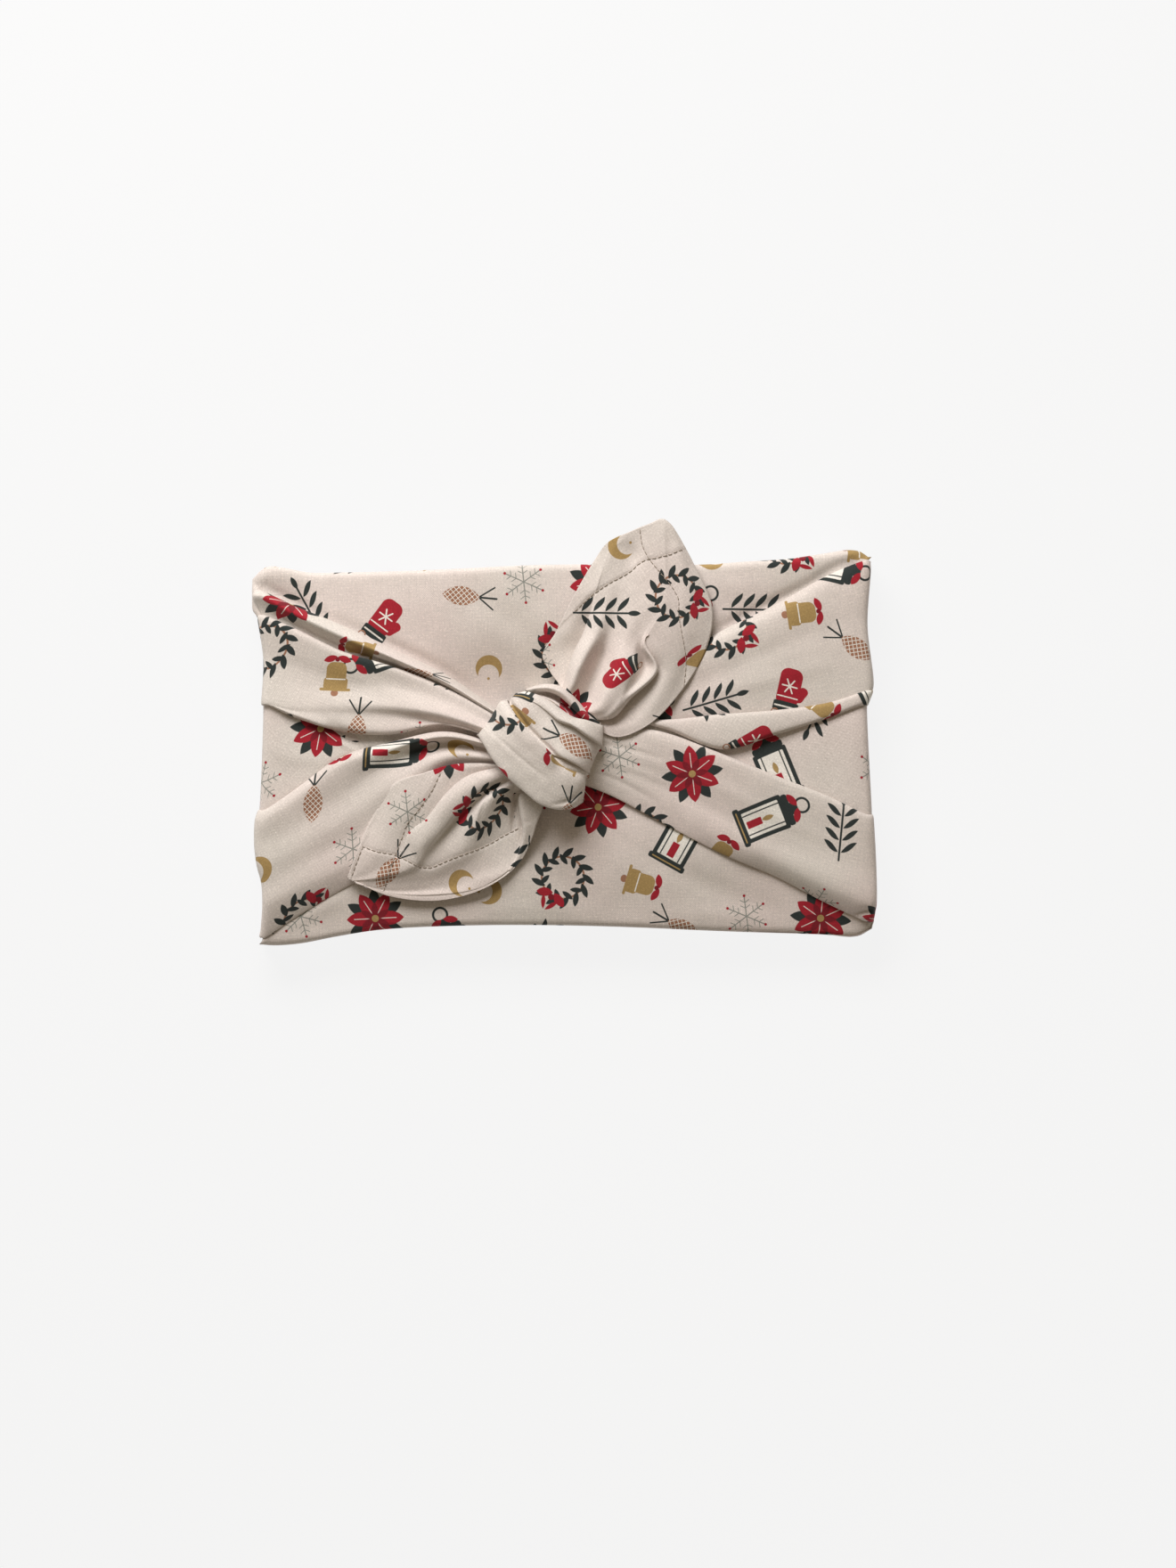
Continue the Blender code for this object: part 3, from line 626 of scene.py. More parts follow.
def build_band(name, folds, stations, edge, side, creases, seed):
    x = np.array(stations, float)
    lines = []
    for fold in folds:
        x[0] = edge(fold.y[0]) - side * EDGE_BACK
        lines.append(np.stack((x, fold.y, fold.rise), axis=-1))
    rows, panel = with_laps(lines, [fold.lies for fold in folds], [fold.lap for fold in folds],
                            [fold.lay for fold in folds])
    # The two outer edges lie on the flat front below, and are rolled under.
    for row, below in zip(rows, [base_height] + [front_height] * (len(rows) - 2) + [base_height]):
        row[:, 2] += below(row[:, 0], row[:, 1])
    tuck = np.minimum(ROLLED_UNDER, 0.1 * (rows[0][:, 1] - rows[-1][:, 1]))
    first, last = rows[0].copy(), rows[-1].copy()
    first[:, 1] -= tuck
    last[:, 1] += tuck
    for row in (first, last):
        row[:, 2] = base_height(row[:, 0], row[:, 1]) + LEAST
    rows, panel = [first] + rows + [last], panel[:1] + panel + panel[-1:]
    net = []
    for row in rows:
        y0 = row[0, 1]
        rise = row[0, 2] - front_height(row[0, 0], y0)
        net.append(np.concatenate((row[::-1], wall_points(y0, row[0, 2], rise, edge, side))))
    net, along, across = refined(np.array(net), *BAND_PITCH)
    last_front = sum(along[:len(stations) - 1])
    flat = flat_map(net[:, :last_front + 1])
    past = np.linalg.norm(np.diff(net[:, last_front:], axis=1), axis=-1).cumsum(axis=1)
    wall_flat = flat[:, -1:] + past[..., None] * (side, 0)
    flat = np.concatenate((flat, wall_flat), axis=1)
    shown = np.ones(net.shape[:2])
    shown[:, last_front:] = np.linspace(1, 0, net.shape[1] - last_front)
    net[..., 2] += shown * (creased(net, creases) + slack(net, 0.3, seed))
    strips = [panel[i] for i, count in enumerate(across) for _ in range(count)]
    cloth_from_net(name, net, flat, strips)


print("points of a band lie", BAND_PITCH, "mm apart")

# %% Soft creases on the bands
LEFT_CREASES = (
    Crease(((-150, 44), (-110, 30), (-70, 14), (-40, 5)), 0.5, 4),
    Crease(((-140, 24), (-105, 20), (-75, 12)), -0.5, 4),
    Crease(((-152, -10), (-130, -14), (-112, -14)), 0.5, 4),
    Crease(((-152, -78), (-120, -64), (-90, -46), (-60, -22)), 0.5, 4),
    Crease(((-128, 5), (-118, -2), (-108, -9.5)), 1.2, 1.4),
    Crease(((-122, 5), (-112, -0.5), (-101, -6)), -2.2, 3.2),
)
RIGHT_CREASES = (
    Crease(((150, 60), (110, 44), (70, 26), (30, 9)), -0.5, 5),
    Crease(((140, 36), (100, 26), (60, 15)), 0.5, 4),
    Crease(((120, -10), (80, -14), (40, -5)), 0.4, 5),
    Crease(((150, -62), (110, -44), (70, -24), (25, -8)), 0.6, 4),
    Crease(((140, -70), (95, -50), (45, -24), (12, -12)), -0.7, 4),
    Crease(((6, -4), (26, -7), (52, -14)), -0.5, 1.3),
    Crease(((4, -12), (30, -17), (62, -30)), 0.5, 2.0),
    Crease(((8, -18), (26, -24), (48, -36)), -0.5, 1.6),
    Crease(((140, -96), (150, -92), (156, -91), (172, -93)), -2.2, 1.4),
    Crease(((143, -99), (153, -95.6), (172, -96)), 1.4, 1.8),
)
build_band("left_band", LEFT_BAND, LEFT_X, left_edge, -1, LEFT_CREASES, 11)
build_band("right_band", RIGHT_BAND, RIGHT_X, right_edge, 1, RIGHT_CREASES, 12)

# %% [markdown]
# ## The knot
# One overhand knot holds the bands. A broad turn crosses the front from the upper left to
# the lower right, a second comes out from under it, and a narrow loop closes round the top.
# Each turn is a strip given by sections, and its two edges are rolled down into the knot.
# Where the front turn bends away it leaves a small mouth, and its lip runs on down inside.

# %% The front turn
# Each row is one section across a turn: (x, y, rise) from its outer edge to its inner one.
FRONT_TURN = (
    ((-44, -1.2, 10), (-41.3, 2.5, 11), (-38.8, 5.5, 10.5), (-35.5, 11, 13), (-32.5, 15.8, 13),
     (-29.5, 16.2, 12)),
    ((-41, -6.3, 15.8), (-38.2, -1.8, 19), (-35.6, 0.6, 19.8), (-32.5, 5, 21.2), (-29, 9.5, 22.5),
     (-25.6, 9.8, 21.6)),
    ((-36, -14.3, 20), (-31.8, -9, 23), (-29.2, -6.3, 23.9), (-25.5, -2, 25.2), (-22.3, 1.8, 26.4),
     (-19.9, 2, 25.9)),
    ((-28.5, -23.2, 21.6), (-24.5, -16.5, 24.4), (-22, -13.7, 25.1), (-18.5, -9.5, 26.4),
     (-15.5, -5.5, 27.6), (-13.6, -4.2, 27.3)),
    ((-20, -30.5, 21.8), (-16.5, -24, 24.6), (-14.5, -20.5, 25.3), (-11.5, -16, 26.2),
     (-8.8, -12.5, 26.9), (-7.2, -10.4, 26.4)),
    ((-12.5, -36.3, 21.8), (-9, -30, 23.8), (-7.5, -26.5, 24.2), (-5.5, -22, 24.6),
     (-4.5, -18.5, 24.6), (-3.6, -16.6, 24)),
    ((-3.5, -39, 20.2), (-1, -33.5, 22.2), (0, -30, 22.6), (1.5, -25.5, 23), (2.2, -22.5, 23),
     (2.5, -20, 22.2)),
    ((4.5, -38.3, 16.4), (6, -33.5, 18.4), (6.5, -30.5, 19.2), (7.5, -26.5, 19.6), (8, -23.8, 19.4),
     (8.3, -21.2, 18)),
    ((9, -35, 9.5), (9.8, -32, 11.5), (10.1, -29.5, 12.6), (10.4, -26.8, 13.6), (10.6, -24, 13.8),
     (10.9, -21.5, 12.8)),
)
print(len(FRONT_TURN), "sections of the front turn")

# %% The second turn
SECOND_TURN = (
    ((-25, 19.3, 10), (-26.5, 18, 12), (-27.3, 17, 13), (-27.9, 15.5, 14), (-28, 14, 14),
     (-27, 11.5, 12)),
    ((-20, 20.6, 14), (-20.5, 18.5, 18), (-21, 16.5, 19), (-21.5, 13, 19.5), (-22, 9, 19.5),
     (-22.5, 4, 18)),
    ((-13.7, 18.9, 16), (-14.3, 16.8, 20.5), (-15, 14.5, 21), (-15.7, 10, 21), (-16.3, 5, 21),
     (-17, -1, 20.5)),
    ((-7.4, 15.7, 17.5), (-8.2, 13.3, 22), (-9, 10.5, 22.6), (-9.5, 6.5, 21), (-10, 0, 22.5),
     (-11, -6.5, 22)),
    ((-1.8, 11.6, 18.5), (-2.5, 9, 23.5), (-3.3, 5.4, 24.6), (-3.8, 3.4, 21.4), (-4.8, -5, 23.6),
     (-6, -11.2, 23.4)),
    ((4.6, 7.6, 18.5), (4.2, 5.2, 23.5), (3.6, 2.8, 24.8), (3.0, 0.6, 21.4), (1.3, -7.5, 23.8),
     (0, -13.4, 24)),
    ((10.9, 6.1, 17.5), (10.6, 3, 22), (10, -1.6, 23.6), (9.2, -4.4, 20.2), (7.5, -11.5, 22.2),
     (6.5, -16.6, 22)),
    ((15.5, 4.6, 15), (15.4, 1, 18.5), (15, -4.8, 20.4), (13.9, -7.8, 17.2), (12, -13.5, 18.2),
     (10.6, -19.2, 17.6)),
    ((19.3, 3.2, 12), (19.3, -1.5, 13), (19, -7.4, 13.8), (16.3, -10.8, 11.4), (14.3, -15.5, 11.8),
     (12.4, -20.6, 11.5)),
)
print(len(SECOND_TURN), "sections of the second turn")

# %% The loop at the top
TOP_LOOP = (
    ((-19.8, 21.8, 6), (-19, 21.2, 8), (-18.2, 20.6, 7), (-17.6, 20.2, 6), (-17, 19.8, 6),
     (-16.5, 19, 5)),
    ((-15.5, 23.5, 9), (-14.8, 22.2, 13), (-14.2, 20.8, 12), (-13.6, 19.8, 8), (-13, 18.6, 10.5),
     (-12.5, 17.4, 8)),
    ((-9, 24.5, 11), (-8.6, 22.5, 16), (-8.3, 20.4, 14.5), (-8.2, 18.8, 7), (-8.1, 16.9, 12.5),
     (-8, 14.9, 9)),
    ((-3, 23.6, 12), (-3.2, 21, 17.5), (-3.4, 18.6, 16), (-3.6, 16.5, 7.5), (-3.9, 14.6, 14),
     (-4.3, 12.1, 10)),
    ((2.2, 20.5, 12), (1.4, 17.8, 17.5), (0.6, 15.4, 16.4), (0.1, 13.3, 8.5), (-0.6, 11.6, 15),
     (-1.3, 9.6, 11)),
    ((6.6, 15.9, 12), (5.5, 13.3, 17), (4.5, 11.5, 16), (3.9, 9.9, 9.5), (3.2, 8.5, 15),
     (2.5, 7, 12)),
    ((10.9, 10.8, 11.5), (9.6, 9, 15.5), (8.4, 7.9, 14.8), (7.8, 7.0, 10.5), (7.2, 6.2, 14.4),
     (6.6, 5.4, 12)),
    ((15.5, 7, 10), (14.5, 6, 13), (13.5, 5.2, 12.5), (13, 4.5, 10.6), (12.5, 3.8, 12.2),
     (12, 3, 11)),
    ((19.3, 4.6, 8), (18.3, 3.8, 10), (17.3, 3, 9.5), (16.8, 2.5, 9), (16.3, 2, 9.5),
     (15.8, 1.5, 9)),
)
print(len(TOP_LOOP), "sections of the loop")

# %% The fold inside
# Seen through the mouth: the next layer of the knot, rolled.
INNER_FOLD = (
    ((-8, -7, 17), (-9.4, -9.6, 19.5), (-10.8, -12.4, 17)),
    ((-4.4, -9.4, 17.5), (-5.6, -13.2, 21.6), (-7.4, -17.6, 18)),
    ((-1.4, -11.2, 17.5), (-2.2, -15.8, 21.9), (-3.6, -21.2, 18)),
    ((1.8, -12.8, 17.5), (1.2, -17.4, 21.4), (0.2, -23, 17)),
    ((5.6, -14.6, 16.5), (5.2, -18.8, 20), (4.6, -23.6, 15)),
    ((9, -16.6, 14.5), (8.8, -19.8, 17.4), (8.4, -23.4, 13)),
    ((12, -18.6, 11), (11.9, -20.6, 12.8), (11.8, -22.8, 10)),
)
print(len(INNER_FOLD), "sections of the inner fold")

# %% Build a turn of the knot
KNOT_FOOT = -13.0        # mm over the front: no edge is rolled down deeper than the dip there
LIP = (-1.3, 6.0)        # how a lip runs on: steps past the edge, and mm down
END = (0.4, 9.0)         # how a turn's two ends are rolled in: steps back, and mm down
KNOT_PITCH = (0.8, 0.7)  # mm between points, along and across a turn


def tucked(edge, inner, inward, down):
    """A point rolled back under an edge, towards the inside of the strip."""
    return [edge[0] + inward * (inner[0] - edge[0]), edge[1] + inward * (inner[1] - edge[1]),
            max(KNOT_FOOT, edge[2] - down)]


def build_turn(name, sections, creases, lay, seed, down, mouth=(), lap=None):
    """down says how far its long edges are rolled down, in mm.
    mouth lists the sections whose inner edge runs on under the next turn, as a lip does.
    lap is (row, reaches): where the strip folds over itself, and how far at each section."""
    columns = []
    for i, line in enumerate(sections):
        inward, drop = LIP if i in mouth else (0.5, down)
        columns.append([tucked(line[0], line[1], 0.5, down)] + [list(p) for p in line]
                       + [tucked(line[-1], line[-2], inward, drop)])
    first = [tucked(a, b, *END) for a, b in zip(columns[0], columns[1])]
    last = [tucked(a, b, *END) for a, b in zip(columns[-1], columns[-2])]
    net = np.array([first] + columns + [last], float).transpose(1, 0, 2)
    if lap:
        lies = ["under" if i == lap[0] + 1 else "soft" for i in range(len(net))]
        reach = np.concatenate(([-0.3], lap[1], [-0.3]))
        net = np.array(with_laps(list(net), lies, [reach] * len(net))[0])
    net[..., 2] += front_height(net[..., 0], net[..., 1])
    net = refined(net, *KNOT_PITCH)[0]
    net[..., 2] += creased(net, creases) + slack(net, 0.15, seed, 20, 6)
    cloth_from_net(name, net, flat_map(net), [lay] * (len(net) - 1))


print("points of the knot lie", KNOT_PITCH, "mm apart")

# %% Tie the knot
FRONT_TURN_CREASES = (
    Crease(((-40, 2.6), (-30.6, -5.6), (-22, -13.2), (-14, -19.6), (-8, -24)), -0.45, 0.9),
    Crease(((-8, -37), (0, -35.4), (5, -33), (11, -27)), -0.7, 1.0),
    Crease(((-2, -39), (4, -36), (9, -33)), 0.6, 1.2),
    Crease(((-31, 10), (-24, 0), (-15, -9)), 0.4, 2.2),
)
SECOND_TURN_CREASES = (
    Crease(((-20, 12), (-12, 5), (-3, -3)), 0.4, 3.0),
    Crease(((2, -4), (9, -9), (14, -14)), -0.4, 2.0),
    Crease(((-34, 26), (-24.5, 10.7), (-18.9, 3), (-12.7, -3.4), (-6.3, -9.7), (4, -20)),
           -2.4, 1.1),
)
build_turn("knot_front_turn", FRONT_TURN, FRONT_TURN_CREASES, Print(40, 30, 50), 21,
           down=9.0, mouth=(5, 6, 7))
build_turn("knot_second_turn", SECOND_TURN, SECOND_TURN_CREASES, Print(-30, 60, 22), 22,
           down=14.0, lap=(2, (-0.3, -0.3, 0.1, 0.5, 1.1, 1.4, 1.4, 1.1, 0.6)))
build_turn("knot_top_loop", TOP_LOOP, (), Print(15, 14, 75), 23, down=22.0,
           lap=(2, (-0.2, 0.5, 1, 1, 1, 0.8, 0.6, 0.4, -0.2)))
build_turn("knot_inner_fold", INNER_FOLD, (), Print(75, 33, 5), 24, down=4.0)

# %% [markdown]
# ## The two free corners
# The tips of the cloth stand out of the knot as two pointed leaves. They are single sheets,
# so their thickness shows at the edge, and a hem runs round both free sides.

# %% Fold lines of the upper corner
# Each line runs from the knot to the far edge, as (x, y, rise) at eight or nine stations.
Line = namedtuple("Line", "name points lies lap", defaults=("soft", 0))
UPPER_CORNER = (
    Line("edge_a", (
        (-5, 17, 5), (-2.7, 23.7, -2), (-7.5, 31, -5), (-11.5, 39.6, -4.4), (-4.6, 51.4, 0.4),
        (4, 68.5, 5.6), (10.4, 80, 7.4), (14.3, 86.4, 7.6))),
    Line("flange", (
        (-4.5, 16.8, 4.5), (-1.8, 24, -1), (-2.6, 31.3, -2.4), (-3.5, 41, -1.6), (3, 53.5, 3.4),
        (10, 70, 7.8), (16, 84, 8.6), (20.9, 95.8, 8.4))),
    Line("contour_a", (
        (-4, 16.5, 6), (-0.9, 24.3, 11), (1.4, 32, 12), (4.6, 41, 11), (9.6, 51.5, 9.4),
        (16, 71, 9.6), (21, 86.5, 9.4), (27, 99.5, 8.8)),
         "over", (0.3, 1.5, 3, 3, 1.2, -0.2, -0.5, -0.5)),
    Line("ridge_a", (
        (-1.5, 15, 10), (3.3, 23, 15), (6.4, 31, 15.6), (10.8, 40, 15), (16, 50, 12.8),
        (23, 71.5, 10), (27.5, 88, 8.6), (33, 102, 8.8))),
    Line("valley_a", (
        (3, 12, 8), (10, 17.6, 6.4), (14.2, 27, 5.8), (18.4, 37.6, 6.2), (22.4, 48, 9),
        (30.5, 70.5, 9.8), (34, 88.5, 7.8), (38, 104.2, 8.6))),
    Line("ridge_b", (
        (8, 9, 10), (16.5, 12, 15.8), (21.8, 21.2, 16.4), (27.4, 34, 15.4), (30.4, 45, 12.4),
        (38.5, 68.5, 10.4), (40, 88.5, 8.8), (43.9, 106.5, 8.4))),
    Line("rim_b", (
        (11.5, 7, 10), (20.5, 9.4, 14.8), (28, 18.4, 15.6), (34.4, 35, 14.4), (35.4, 44.8, 11.6),
        (44, 66.5, 10.6), (45.5, 87.5, 9.2), (46.5, 107.8, 8.3))),
    Line("hollow", (
        (12, 6.5, 9.6), (22, 8.2, 14.2), (30, 17.8, 14.8), (41, 34, 5.6), (38.6, 45.4, 10.6),
        (47.5, 65.5, 10.4), (48.5, 87, 9.4), (48.5, 108.6, 8.2))),
    Line("contour_b", (
        (13, 6, 9), (24.6, 7.4, 12.8), (33.4, 16.8, 13.6), (47.4, 31.8, 11.4), (41.2, 46, 11.8),
        (50, 64.8, 10.4), (50.5, 86.6, 9.4), (50, 108.5, 8.2)),
         "under", (0.3, 1.8, 3, 1.4, 0.2, -0.4, -0.5, -0.5)),
    Line("flap_in", (
        (13.8, 5, 8), (26, 5.6, 7.6), (35.4, 14.8, 6.4), (49.4, 30.8, 8), (45.5, 46.4, 11.2),
        (54, 64, 9.8), (53, 86.2, 8.8), (52, 107.6, 8))),
    Line("flap_b", (
        (15, 3.5, 9), (27, 2.2, 9.4), (38.5, 7, 8.4), (53, 28, 8.2), (57.5, 47, 9), (64, 62, 8),
        (60, 85, 8), (54.5, 105.3, 7.5))),
    Line("edge_b", (
        (17, 1, 9.4), (27, -2.5, 9.2), (44, 4.8, 7.6), (62.8, 25.7, 4.6), (72.5, 43.5, 3),
        (75.4, 62.6, 2.6), (66, 85.4, 3.6), (59, 98.5, 6))),
)
print("upper corner:", ", ".join(line.name for line in UPPER_CORNER))

# %% Fold lines of the lower corner
LOWER_CORNER = (
    Line("edge_a", (
        (-30, -16.5, 8), (-44, -15.6, 8.6), (-58, -16.4, 7.8), (-72, -20.6, 7.2),
        (-86.4, -25.6, 5.8), (-96, -39.6, 4.2), (-102.2, -51.2, 3.6), (-107, -63.5, 3.4),
        (-111, -74.2, 2.4))),
    Line("hem", (
        (-29, -17, 7.8), (-42, -17.2, 8.8), (-55, -19.5, 8.6), (-67, -27, 8.3),
        (-79.5, -37.5, 7.5), (-89, -49, 6.5), (-95.5, -60, 5.5), (-102.5, -68.5, 4),
        (-110, -74.6, 2.4))),
    Line("contour_a", (
        (-27.5, -17.5, 10), (-39, -18.8, 11.6), (-51, -22.8, 12.2), (-61, -31.5, 11.6),
        (-70.5, -43.5, 10), (-79.5, -51, 8.4), (-84, -62, 5.8), (-97, -71, 3.7),
        (-109.5, -75, 2.5)), "over", (0.5, 1.5, 3, 4, 4, 3, 0.6, -0.3, -0.5)),
    Line("ridge_a", (
        (-26, -19, 11), (-37, -21.5, 13.2), (-48.5, -27.6, 13.8), (-58.4, -36.4, 13),
        (-67, -48.4, 11.2), (-74.2, -58, 9.2), (-78.8, -66, 6.4), (-95.5, -73, 3.8),
        (-108.8, -75.4, 2.5))),
    Line("shoulder", (
        (-24.8, -20.5, 10.6), (-34.8, -24, 12.4), (-45.4, -30.8, 12.6), (-54.4, -39.8, 11.6),
        (-62.8, -50, 9.8), (-70.6, -59.2, 7.8), (-76.4, -68, 5.7), (-94.6, -74, 3.7),
        (-108.5, -75.6, 2.5))),
    Line("valley_b", (
        (-24, -21.5, 9), (-33, -26, 8), (-43, -33.5, 7.2), (-52, -42, 6.4), (-60.5, -51, 5.6),
        (-68, -60.5, 4.6), (-74.5, -69.5, 3.6), (-94, -75, 2.6), (-108.2, -75.8, 2.2))),
    Line("ridge_b", (
        (-21.5, -24, 10), (-31, -28.5, 11), (-39.5, -35.5, 10.6), (-44.8, -44, 9.4),
        (-50, -56, 6.8), (-59.5, -66, 3.8), (-70.5, -73, 1.9), (-93, -77, 1.8),
        (-107.5, -76, 2.2))),
    Line("inside", (
        (-19, -26, 8.5), (-27, -31, 7.4), (-33, -40, 5.2), (-37.5, -51, 3.6), (-43, -62.5, 2.6),
        (-54, -71, 1.1), (-68.5, -76.5, 0.5), (-92, -79, 1.2), (-107, -76.2, 2.1))),
    Line("turn_c", (
        (-17, -27.5, 7), (-25, -31, 4.4), (-25.6, -39.5, 2.2), (-26.4, -49.6, 1.6),
        (-33, -65, 1.4), (-48, -75.5, 0.2), (-66.5, -80, -0.4), (-91, -80.5, 0.7),
        (-106.8, -76.4, 2))),
    Line("flap_c", (
        (-15, -29, 8), (-23, -31.8, 9.6), (-23, -40.5, 9.8), (-21.6, -50.5, 7.4),
        (-27, -68, 2.2), (-43.5, -79, 0.7), (-65, -83, -0.1), (-90.5, -82, 0.8),
        (-106.7, -76.7, 1.9)), "over", (0.2, 1.4, 1.8, 1.4, 0.2, -0.4, -0.5, -0.5, -0.5)),
    Line("edge_b", (
        (-11.5, -31, 7), (-11.3, -38.5, 8), (-14, -46, 7.4), (-17.2, -55.6, 5.2),
        (-23, -66, 2.6), (-38.7, -78.3, 1), (-63.5, -85.6, -0.2), (-90, -83.3, 0.6),
        (-107.4, -75.9, 1.8))),
)

print("lower corner:", ", ".join(line.name for line in LOWER_CORNER))

# %% Stitch lines of the hems
UPPER_SEAMS = (
    ((58.7, 92.7), (52.6, 90.2), (46, 88.6), (39.8, 87), (32.5, 81.2), (23.1, 76), (13.7, 69.7),
     (6, 62.5)),
    ((60.5, 21.6), (61.4, 31.6), (61.4, 38.9), (59.5, 50), (57.8, 60.8), (57.8, 66.8),
     (55.5, 72.2), (49.5, 80), (42.8, 88.3), (39.5, 95), (38.2, 102)),
)
LOWER_SEAMS = (
    ((-63.7, -21.6), (-68.3, -30.7), (-74.6, -39.4), (-80.1, -46.4), (-83.3, -54.4), (-86, -61.7),
     (-89.6, -72.4), (-92.4, -80)),
    ((-102.6, -58.2), (-95.6, -60.6), (-86.9, -62.3), (-80.1, -65.3), (-74.6, -68), (-68.3, -68.8),
     (-60.1, -65.3), (-49.3, -61.2), (-40, -57.6), (-30.5, -52.3), (-24.6, -49.4)),
    ((-103.2, -58.9), (-106, -66.2), (-108.2, -72)),
)
print(len(UPPER_SEAMS) + len(LOWER_SEAMS), "rows of stitches")

# %% The doubled cloth of a hem
HEM_RISE = 0.30          # mm that the doubled cloth outside a stitch line stands up
STITCH_DENT, DENT_WIDTH = 0.25, 0.9      # mm that the thread pulls the cloth in, and how wide


def beside(points, line):
    """How far each point lies to the left of a line in plan, in mm; minus on its right."""
    line = smooth(np.array(line, float)[:, None, :], [4] * (len(line) - 1))[:, 0]
    best = np.full(points.shape[:-1], 1e9)
    side = np.zeros(points.shape[:-1])
    for p, q in zip(line, line[1:]):
        d = q - p
        away = points[..., :2] - p
        t = np.clip((away @ d) / max(d @ d, 1e-9), 0, 1)
        gap = np.linalg.norm(away - t[..., None] * d, axis=-1)
        left = d[0] * away[..., 1] - d[1] * away[..., 0]
        side = np.where(gap < best, np.sign(left) * gap, side)
        best = np.minimum(best, gap)
    return side


def hemmed(points, seams):
    """Lifts the doubled cloth on the right of each seam and dents the stitch line."""
    lift = np.zeros(points.shape[:-1])
    for seam in seams:
        side = -beside(points, seam)
        lift += HEM_RISE * ramp(side, -0.6, 1.2)
        lift -= STITCH_DENT * np.exp(-(side / DENT_WIDTH) ** 2)
    return lift


print("left of a line, mm:", beside(np.array([1.0, 2.0]), ((0, 0), (9, 0))))

# %% Build the two corners
CORNER_PITCH = (1.0, 0.9)                # mm between points, along and across the fold lines
UPPER_CREASES = (
    Crease(((28, 97), (33, 91), (37, 84)), -1.2, 4.0),
    Crease(((20, 50), (24, 62), (28, 74)), -0.8, 4.0),
    Crease(((56, 20), (62, 34), (66, 50)), -0.5, 3.0),
)
LOWER_CREASES = (
    Crease(((-74, -69), (-78, -60), (-80, -52)), -0.5, 1.4),
    Crease(((-32, -24), (-40.3, -32.9), (-44, -40.6), (-45.5, -54)), 1.2, 0.9),
    Crease(((-25.4, -26), (-25.6, -38), (-26.6, -52)), -2.6, 1.3),
    Crease(((-30, -72), (-40, -74), (-52, -80)), 0.5, 3.0),
)


def build_corner(name, lines, creases, seams, lay, seed):
    net = [np.array(line.points, float) for line in lines]
    net = np.array(with_laps(net, [line.lies for line in lines], [line.lap for line in lines])[0])
    net[..., 2] += FRONT_Z + SWELL
    net = refined(net, *CORNER_PITCH)[0]
    net[..., 2] += creased(net, creases) + slack(net, 0.3, seed, 40, 12) + hemmed(net, seams)
    cloth_from_net(name, net, flat_map(net), [lay] * (len(net) - 1), thickness=HEMMED)


build_corner("upper_corner", UPPER_CORNER, UPPER_CREASES, UPPER_SEAMS, Print(52, 18, 66), 31)
build_corner("lower_corner", LOWER_CORNER, LOWER_CREASES, LOWER_SEAMS, Print(-60, 54, 28), 32)

# %% [markdown]
# ## The hem stitches
# A lockstitch shows as a row of short threads with a gap between them. One thread is drawn
# as an arc and a thin circle, and Geometry Nodes sets it along each seam, turned along the
# seam and up from the cloth. That way one number changes the length of every stitch.

# %% A tree that sews along a path
SWAY = 0.12              # radians that a stitch may lie off the seam's line


def stitch_tree():
    tree = bpy.data.node_groups.new("hem_stitches", "GeometryNodeTree")
    for name, kind in (("Seam", "NodeSocketGeometry"), ("Stitch length", "NodeSocketFloat"),
                       ("Gap", "NodeSocketFloat"), ("Thread radius", "NodeSocketFloat"),
                       ("Seed", "NodeSocketInt"), ("Thread", "NodeSocketMaterial")):
        tree.interface.new_socket(name, in_out="INPUT", socket_type=kind)
    tree.interface.new_socket("Stitches", in_out="OUTPUT", socket_type="NodeSocketGeometry")
    given = tree.nodes.new("NodeGroupInput")
    seam, length, gap, radius, seed, thread = (given.outputs[i] for i in range(6))
    half = add(tree, "MULTIPLY", length, 0.5)
    start = add(tree, "ShaderNodeCombineXYZ", add(tree, "MULTIPLY", half, -1.0), 0.0, 0.0)
    top = add(tree, "ShaderNodeCombineXYZ", 0.0, 0.0, add(tree, "MULTIPLY", radius, 3.0))
    end = add(tree, "ShaderNodeCombineXYZ", half, 0.0, 0.0)
    arc = add(tree, "GeometryNodeCurveQuadraticBezier", 5, start, top, end)
    round_thread = add(tree, "GeometryNodeCurvePrimitiveCircle", 6, None, None, None, radius)
    stitch = add(tree, "GeometryNodeCurveToMesh", arc, round_thread, None, True)
    path = add(tree, "GeometryNodeMeshToCurve", seam)
    path = add(tree, "GeometryNodeResampleCurve", path, None, None,
               add(tree, "ADD", length, gap), mode="LENGTH")
    up = add(tree, "GeometryNodeInputNamedAttribute", "up", data_type="FLOAT_VECTOR")
    along = add(tree, "FunctionNodeAlignRotationToVector", None, 1.0,
                add(tree, "GeometryNodeInputTangent"), axis="X")
    lie = add(tree, "FunctionNodeAlignRotationToVector", along, 1.0, up, axis="Z",
              pivot_axis="X")
    sway = add(tree, "FunctionNodeRandomValue", None, None, -SWAY, SWAY, None, None, None, None,
               seed, out=1, data_type="FLOAT")
    sway = add(tree, "FunctionNodeAxisAngleToRotation", (0, 0, 1), sway)
    lie = add(tree, "FunctionNodeRotateRotation", lie, sway, rotation_space="LOCAL")
    sewn = add(tree, "GeometryNodeInstanceOnPoints", path, None, stitch, None, None, lie)
    sewn = add(tree, "GeometryNodeRealizeInstances", sewn)
    sewn = add(tree, "GeometryNodeSetMaterial", sewn, None, thread)
    tree.links.new(sewn, tree.nodes.new("NodeGroupOutput").inputs[0])
    return tree


SEWING = stitch_tree()
print("sewing tree:", len(SEWING.nodes), "nodes")

